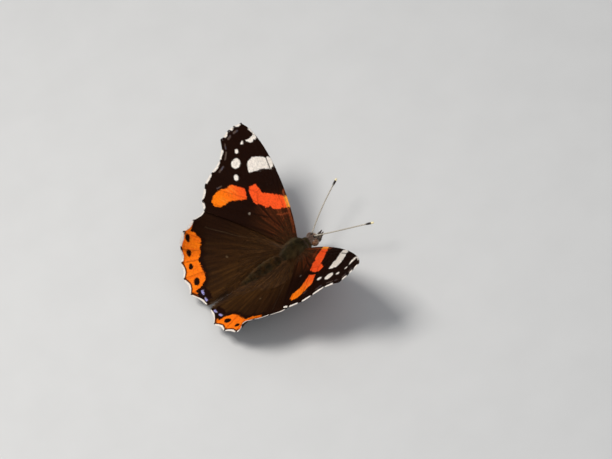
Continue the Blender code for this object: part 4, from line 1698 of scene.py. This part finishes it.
@dataclass
class Eye:
    """A large round compound eye, sunk into the side of the head, its surface raised in six-sided facets."""

    side: Side
    centre: Point = (1.08, 4.2, -0.7)
    half: Point = (1.02, 0.95, 1.05)
    facet: float = 0.085
    facet_height: float = 0.006
    rings: int = 84
    columns: int = 132

    def surface(self, polar: Array, turn: Array, swell: Size = 1.0) -> Array:
        """Give points of the ellipsoid.

        Args:
            polar: Angles from its outer pole.
            turn: Angles round that pole.
            swell: What the half axes are multiplied by.

        Returns:
            The centre plus the half axes times (cosine of the polar angle, its sine times the turn's cosine,
            its sine times the turn's sine).
        """
        across, high = np.sin(polar) * np.cos(turn), np.sin(polar) * np.sin(turn)
        offset = np.stack([np.cos(polar) * np.ones_like(turn), across, high], axis=-1)
        return np.array(self.centre) + self.half * np.asarray(swell)[..., None] * offset

    def lashes(self, count: int = 1100) -> Shell:
        """Build the ring of short pale hair where the eye meets the head.

        Args:
            count: How many locks.

        Returns:
            The locks, rooted round the eye's inner rim and leaning out over it.
        """
        rng = np.random.default_rng(55 if self.side is Side.LEFT else 56)
        turn = TURN * ((np.arange(count) * GOLDEN_TURN) % 1.0)
        polar = rng.uniform(1.55, 2.0, count)
        radial = np.column_stack([np.zeros(count), np.cos(turn), np.sin(turn)])
        roots = self.surface(polar, turn)
        swing = rng.normal(0.0, 0.25, count)[:, None]
        along = np.cross((1.0, 0.0, 0.0), radial)
        ways = np.array((1.0, 0.0, 0.0)) * np.cos(swing) + along * np.sin(swing)
        tone = blend(Hue.fawn * 0.4, Hue.fawn * 1.2, rng.random(count))
        homes = np.column_stack([0.05 + 0.9 * (polar - 1.55) / 0.45, 0.05 + 0.9 * turn / TURN])
        length = rng.uniform(0.24, 0.42, count)
        roots = roots + 0.02 * radial
        return LOCK.grow(roots, ways, radial, length, 0.035, 0.03, 0.3, 0.35, tone, homes, tip=0.3)

    def build(self) -> None:
        """Make the eye: an ellipsoid cap whose radius swells by three crossed waves, 120 degrees apart."""
        polar = np.linspace(0.62 * math.pi, 0.012, self.rings)[:, None]
        turn = (np.arange(self.columns) * TURN / self.columns)[None, :]
        flat = np.stack([polar * np.cos(turn), polar * np.sin(turn)], axis=-1)
        wave = np.zeros(flat.shape[:-1])
        for third in range(3):
            angle = third * math.pi / 3.0
            wave += np.cos(flat @ (math.cos(angle), math.sin(angle)) * TURN / self.facet)
        swell = 1.0 + self.facet_height * wave / 3.0
        points = self.surface(polar, turn, swell).reshape(-1, 3)
        points = np.vstack([points, points[: self.columns].mean(0), points[-self.columns :].mean(0)])
        # Painted shade: the eye is darker towards the head, where it sinks into its socket.
        rim = ramp(points[:, 0], self.centre[0] + 0.5, self.centre[0] + 0.05)
        tone = blend(pigment(104, 64, 36), pigment(40, 24, 14), rim)
        # Painted highlights: pale mottles stand for glints of light on the eye, kept off the shaded rim.
        mottle = value_noise(points * (2.0, 4.0, 4.0), 57) * 0.5 + value_noise(points * 8.0, 58) * 0.5
        tone = blend(tone, pigment(166, 128, 92), 0.38 * ramp(mottle, 0.46, 0.66) * (1.0 - rim))
        quads, fans = grid_quads(self.rings, self.columns, ring=True), caps(self.rings, self.columns)
        shell = Shell(points, quads, fans, tone)
        end = self.side.label
        set_out(f"eye_facets_{end}", shell, FACETS, [f"eye_{end}"], self.side, True)
        set_out(f"eye_rim_hair_{end}", self.lashes(), HAIR, (), self.side)


def outward(ways: Array, turn: Array) -> Array:
    """Give unit directions out of a limb.

    Args:
        ways: Its unit direction at each root.
        turn: Share of a turn round it.

    Returns:
        The limb's level sideways direction, turned about the limb.
    """
    sideways = unit(np.cross(ways, (0.0, 0.0, 1.0)))
    angle = TURN * turn[:, None]
    return sideways * np.cos(angle) + np.cross(sideways, ways) * np.sin(angle)


@dataclass
class Palp:
    """One of the two hairy palps that stand up before the face."""

    side: Side
    path: Points = ((0.4, 4.5, -1.7), (0.52, 5.4, -1.6), (0.46, 6.2, -0.85), (0.36, 7.1, -0.18))
    widths: tuple[float, ...] = (0.34, 0.44, 0.4, 0.14)

    def build(self) -> None:
        """Make the palp's core and its tufts."""
        count = 40
        path = smooth_path(self.path, count)
        width = smooth_path(np.array(self.widths)[:, None], count)[:, 0]
        core = tube(path, width, width * 1.15, 14, (0, 0, 1), Hue.umber)
        end = self.side.label
        set_out(f"palp_core_{end}", core, CUTICLE, [f"palp_{end}"], self.side, True)
        rng = np.random.default_rng(61 if self.side is Side.LEFT else 62)
        tufts = 1700
        place = rng.random(tufts) * (count - 1.01)
        turn = (np.arange(tufts) * GOLDEN_TURN) % 1.0
        middle = curve_at(path, place)
        ways = unit(curve_at(path, place + 0.4) - curve_at(path, place - 0.4))
        normal = outward(ways, turn)
        radius = 0.5 * np.interp(place, np.arange(count), width)[:, None]
        # Painted top light: the palp's hair is paler where it faces upwards, towards the light.
        pale = ramp(normal[:, 2], -0.4, 0.8) * (0.5 + 0.5 * rng.random(tufts))
        tone = blend(Hue.fawn * 0.7, Hue.mist * 1.1, pale * ramp(place / count, 0.8, 0.55))
        tone = blend(tone, pigment(92, 68, 70), 0.8 * ramp(place / count, 0.65, 0.9))
        tone = tone * rng.uniform(0.7, 1.2, tufts)[:, None]
        homes = np.column_stack([0.05 + 0.9 * place / count, 0.05 + 0.9 * turn])
        below = ramp(-normal[:, 2], -0.1, 0.8)
        slender = 1.0 - 0.6 * ramp(place / count, 0.6, 0.85)
        length = rng.uniform(0.32, 0.56, tufts) * (1.0 + 0.5 * below) * slender
        lean = rng.uniform(0.25, 0.5, tufts) + 0.2 * below
        roots = middle + normal * radius * 0.9
        coat = LOCK.grow(roots, ways, normal, length, 0.045, 0.035, lean, 0.15, tone, homes, tip=0.3)
        set_out(f"palp_hair_{end}", coat, HAIR, (), self.side)


@dataclass
class Antenna:
    """A feeler: a thin ringed shaft that ends in a black club with a cream tip."""

    side: Side
    path: Points = (
        (0.62, 4.75, 0.35), (0.75, 5.05, 0.72), (3.55, 8.9, 1.5), (6.25, 13.1, 2.15), (8.98, 17.58, 2.62),
    )
    shaft: float = 0.3
    club: float = 0.56
    club_share: float = 0.11
    rings: int = 40

    def build(self) -> None:
        """Make the feeler: its width swells at each joint by a sine and into the club by a smooth step."""
        count = 480
        path = even_path(self.path, count)
        share = np.linspace(0.0, 1.0, count)
        joint = np.abs(np.sin(math.pi * self.rings * share))
        club = ramp(share, 1.0 - self.club_share - 0.05, 1.0 - self.club_share + 0.03)
        end = np.sqrt(np.clip((1.0 - share) / 0.02, 0.0, 1.0))
        width = (self.shaft * (0.9 + 0.14 * joint) + (self.club - self.shaft) * club) * (0.25 + 0.75 * end)
        width += 0.2 * bell(share - 0.014, 0.014)
        pale = ramp(joint, 0.25, 0.55) * (1.0 - club)
        tone = blend(Hue.horn, pigment(204, 194, 176), 0.92 * pale)
        tone = blend(tone, Hue.horn, ramp(share, 0.045, 0.03))
        tone = blend(tone, Hue.soot, club)
        tone = blend(tone, pigment(255, 240, 190), ramp(share, 0.953, 0.96))
        shell = tube(path, width, width, 14, (0, 0, 1), tone)
        name = f"antenna_{self.side.label}"
        set_out(f"feeler_{self.side.label}", shell, HORN, [name], self.side, True)


@dataclass
class Tongue:
    """The rolled tongue: a tapering tube wound into a flat spiral below the face."""

    centre: Point = (4.85, -2.72)
    outer: float = 0.52
    inner: float = 0.07
    turns: float = 3.0
    thickness: float = 0.16

    def build(self) -> None:
        """Make the tongue: its distance from the middle shrinks evenly with the turn, after a short stem."""
        count = 260
        share = np.linspace(0.0, 1.0, count)
        angle = math.pi * 0.62 + TURN * self.turns * share
        reach = self.outer + (self.inner - self.outer) * share
        ahead, up = self.centre[0] + reach * np.cos(angle), self.centre[1] + reach * np.sin(angle)
        coil = np.column_stack([np.zeros(count), ahead, up])
        stem = smooth_path(((0.0, 4.3, -1.3), (0.0, 4.45, -1.9), coil[0], coil[6]), 30)[:20]
        path = np.vstack([stem, coil])
        width = np.concatenate([np.full(len(stem), self.thickness), self.thickness * (1.0 - 0.4 * share)])
        ringed = 1.0 + 0.05 * np.sin(np.arange(len(path)) * 1.3)
        tone = pigment(108, 66, 34) * ringed[:, None]
        shell = tube(path, 1.5 * width * ringed, width * ringed, 12, (1, 0, 0), tone)
        set_out("tongue_coil", shell, HORN, ["proboscis"], smooth=True)


# ---- legs


def limb(start: Point, end: Point, widths: Point, belly: float, colours: Array, bow: float = 0.0) -> Shell:
    """Build one segment of a leg.

    Args:
        start: Middle of its inner end.
        end: Middle of its outer end.
        widths: Width at the two ends.
        belly: How much it swells between them.
        colours: Pigment of its inner and its outer end.
        bow: How far its middle is pushed upwards.

    Returns:
        A closed tube whose width runs between the ends' with a sine of belly added, rounded at both ends.
    """
    count = 26
    share = np.linspace(0.0, 1.0, count)
    path = np.array(start) + share[:, None] * np.subtract(end, start)
    path[:, 2] += bow * np.sin(math.pi * share)
    ends = np.sqrt(np.clip(1.0 - np.abs(2.0 * share - 1.0) ** 8, 0.0, 1.0))
    width = widths[0] + (widths[1] - widths[0]) * share + belly * np.sin(math.pi * share)
    width = width * (0.3 + 0.7 * ends)
    return tube(path, width, width, 12, (0, 0, 1), blend(colours[0], colours[1], share))


def bristles(
    path: Array, radius: float, count: int, length: float, tone: Array, seed: int, tilt: float
) -> Shell:
    """Grow fine bristles and narrow scales round a straight limb.

    Args:
        path: Its two ends.
        radius: Its radius.
        count: How many.
        length: Their mean length.
        tone: Their pigment.
        seed: Which random draws.
        tilt: Their lean away from the limb, in radians.

    Returns:
        The bristles, set out evenly by a golden-ratio turn and pointing towards the limb's outer end.
    """
    rng = np.random.default_rng(seed)
    share = (np.arange(count) + rng.random(count)) / count
    turn = (np.arange(count) * GOLDEN_TURN) % 1.0
    ways = unit(path[1:] - path[:1])
    normal = outward(ways, turn)
    roots = path[0] + share[:, None] * (path[1] - path[0]) + 0.9 * radius * normal
    colours = tone * rng.uniform(0.7, 1.3, count)[:, None]
    homes = np.column_stack([0.05 + 0.9 * share, 0.05 + 0.9 * turn])
    size = length * rng.uniform(0.7, 1.3, count)
    return LOCK.grow(roots, ways, normal, size, 0.04, 0.035, tilt, 0.05, colours, homes, tip=0.2)


@dataclass
class WalkingLeg:
    """A walking leg of femur, tibia and a tarsus of five short segments with two claws, flat on the floor."""

    side: Side
    label: str
    hip: Point
    knee: Point
    ankle: Point
    toe: Point
    chest: Point
    seed: int
    thigh_width: float = 0.5
    shin_width: float = 0.36
    foot_width: float = 0.3

    def build(self) -> None:
        """Make the leg and its bristles."""
        hip, knee, ankle = np.array(STANCE.lifted(self.hip)), np.array(self.knee), np.array(self.ankle)
        ground = 0.5 * self.foot_width
        heel = np.array([ankle[0] + 0.12, ankle[1], ground + 0.02])
        toe = np.array([*self.toe, ground])
        dark, light = Hue.umber, Hue.tan
        chest = np.array(STANCE.lifted(self.chest))
        segments = [
            limb(chest, hip + (hip - chest) * 0.12, (0.62, 0.5), 0.08, np.array([dark, dark])),
            limb(hip, knee, (self.thigh_width, 0.4), 0.1, np.array([dark, light * 0.8]), bow=0.1),
            limb(knee, ankle, (self.shin_width, 0.32), 0.04, np.array([light * 0.8, light])),
            limb(ankle, heel, (0.32, self.foot_width), 0.0, np.array([light, light])),
        ]
        marks = (0.0, 0.42, 0.6, 0.74, 0.86, 1.0)
        for first, second in zip(marks[:-1], marks[1:]):
            ends = heel + np.outer((first, second + 0.01), toe - heel)
            widths = (self.foot_width * 0.86, self.foot_width)
            segments.append(limb(ends[0], ends[1], widths, 0.0, np.array([light * 0.8, light])))
        way = unit(toe - heel)
        spread = np.cross(way, (0.0, 0.0, 1.0))
        for sign in (-1.0, 1.0):
            middle, tip = toe + way * 0.1 + sign * spread * 0.12, toe + way * 0.2 + sign * spread * 0.13
            hook = np.stack([toe - way * 0.1, middle, tip])
            hook[2, 2] = 0.03
            path = smooth_path(hook, 12)
            width = np.linspace(0.1, 0.025, 12)
            segments.append(tube(path, width, width, 8, (0, 0, 1), Hue.horn))
        end = f"{self.label}_{self.side.label}"
        nodes = [f"{end}_{part}" for part in ("femur", "tibia", "tarsus")]
        place = STANCE.standing(self.side)
        set_out(f"limb_{end}", Shell.joined(segments), HORN, nodes, self.side, True, place)
        coats = [
            bristles(np.array([chest, hip]), 0.3, 420, 0.5, Hue.bronze, self.seed + 4, 0.4),
            bristles(np.array([hip, knee]), 0.25, 700, 0.4, Hue.bronze, self.seed, 0.28),
            bristles(np.array([knee, ankle]), 0.18, 420, 0.24, Hue.tan, self.seed + 1, 0.22),
            bristles(np.array([knee, ankle]), 0.17, 36, 0.42, Hue.horn, self.seed + 2, 0.55),
            bristles(np.array([heel, toe]), 0.13, 260, 0.14, Hue.tan, self.seed + 3, 0.25),
        ]
        coat = Shell.joined(coats)
        coat.points[:, 2] = np.maximum(coat.points[:, 2], 0.01)
        set_out(f"bristles_{end}", coat, HAIR, (), self.side, False, place)


LEGS = (
    ("mid_leg", (1.35, 0.5, -2.75), (4.7, 0.9, 4.3), (7.5, 1.5, 0.85), (10.4, 2.4), (0.8, 0.9, -1.3), 80),
    ("hind_leg", (1.25, -2.3, -2.6), (4.3, -4.6, 4), (6.3, -8.4, 0.85), (8.1, -12.2), (0.7, -1.9, -1.2), 90),
)


@dataclass
class BrushLeg:
    """The short hairy foreleg, folded below the chest."""

    side: Side
    path: Points = ((0.7, 1.9, -1.5), (0.95, 3.1, -2.85), (0.9, 2.95, -3.65), (0.8, 2.2, -4.0))

    def build(self) -> None:
        """Make the foreleg's core and its brush of hair."""
        count = 40
        path = smooth_path(self.path, count)
        share = np.linspace(0.0, 1.0, count)
        width = 0.3 - 0.12 * share
        core = tube(path, width, width, 12, (1, 0, 0), Hue.umber)
        end = self.side.label
        set_out(f"foreleg_core_{end}", core, CUTICLE, [f"foreleg_{end}"], self.side, True)
        parts = [
            bristles(path[start : start + 4 : 3], 0.12, 150, 0.42, Hue.bronze * 1.2, 70 + start, 0.5)
            for start in range(0, count - 4, 3)
        ]
        set_out(f"foreleg_brush_{end}", Shell.joined(parts), HAIR, (), self.side)


# ---- studio


def placed(place: Array, axes: Array) -> Matrix:
    """Give the matrix that stands a thing at a place, its own axes along these columns."""
    return Matrix.Translation(place) @ Matrix(axes.tolist()).to_4x4()


@dataclass
class Studio:
    """A pale floor, soft lights and the camera."""

    floor_half: float = 0.9
    lens: float = 250.0
    right: Point = (-0.4896, -0.8479, -0.2036)
    up: Point = (0.589, -0.4937, 0.6397)
    towards: Point = (-0.6429, 0.1933, 0.7412)
    target: Point = (1.438, -8.908, 8.047)
    distance: float = 1014.3
    key_from: Point = (0.16, 0.30, 0.94)
    key_watts: float = 1.3
    fill_from: Point = (-0.75, 0.1, 0.62)
    fill_watts: float = 0.3
    sky: float = 0.38

    def build(self) -> None:
        """Make the floor, the lights, the sky and the camera."""
        self.lay_floor()
        self.hang_light("key", self.key_from, 0.42, 0.16, self.key_watts, (1.0, 0.97, 0.92))
        self.hang_light("fill", self.fill_from, 0.5, 0.4, self.fill_watts, (0.92, 0.96, 1.0))
        self.set_camera()
        scene = bpy.context.scene
        scene.view_settings.view_transform = "Standard"
        world = bpy.data.worlds.new("studio")
        world.use_nodes = True
        background = world.node_tree.nodes["Background"]
        background.inputs["Color"].default_value = (0.93, 0.96, 1.0, 1.0)
        background.inputs["Strength"].default_value = self.sky
        scene.world = world

    def lay_floor(self) -> None:
        """Make the floor, just under the feet."""
        corner = self.floor_half
        mesh = bpy.data.meshes.new("floor")
        signs = ((-1, -1), (1, -1), (1, 1), (-1, 1))
        mesh.from_pydata([(x * corner, y * corner, 0.0) for x, y in signs], [], [(0, 1, 2, 3)])
        mesh.materials.append(FloorFinish().material())
        floor = set_down("floor", mesh)

    def hang_light(
        self, name: str, direction: Point, distance: float, size: float, watts: float, tint: Point
    ) -> None:
        """Hang a square soft light that faces the butterfly.

        Args:
            name: The light's name.
            direction: Where it is, seen from the butterfly.
            distance: How far away, in metres.
            size: Its side, in metres.
            watts: Its power.
            tint: Its colour.
        """
        data = bpy.data.lights.new(name, "AREA")
        data.size = size
        data.energy = watts
        data.color = tint
        back = unit(np.array(direction))
        across = unit(np.cross((0.0, 1.0, 0.0), back))
        turned = np.column_stack([across, np.cross(back, across), back])
        set_down(name, data).matrix_world = placed(back * distance, turned)

    def set_camera(self) -> None:
        """Set the camera: a long lens above and behind the left wing."""
        data = bpy.data.cameras.new("camera")
        data.lens = self.lens
        data.clip_start, data.clip_end = 0.01, 10.0
        camera = set_down("camera", data)
        axes = np.column_stack([self.right, self.up, self.towards])
        place = (np.array(self.target) + self.distance * np.array(self.towards)) * MM
        camera.matrix_world = placed(place, axes)
        bpy.context.scene.camera = camera


def main() -> None:
    """Build the butterfly piece by piece round its frame, then the studio."""
    logging.basicConfig(level=logging.INFO, format="%(message)s")
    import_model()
    Body().build()
    Tongue().build()
    for number, side in enumerate(Side):
        for piece in (ForeWing, HindWing, Eye, Palp, Antenna, BrushLeg):
            piece(side).build()
        for *joints, seed in LEGS:
            WalkingLeg(side, *joints, seed + number).build()
    Studio().build()


if __name__ == "__main__":
    main()
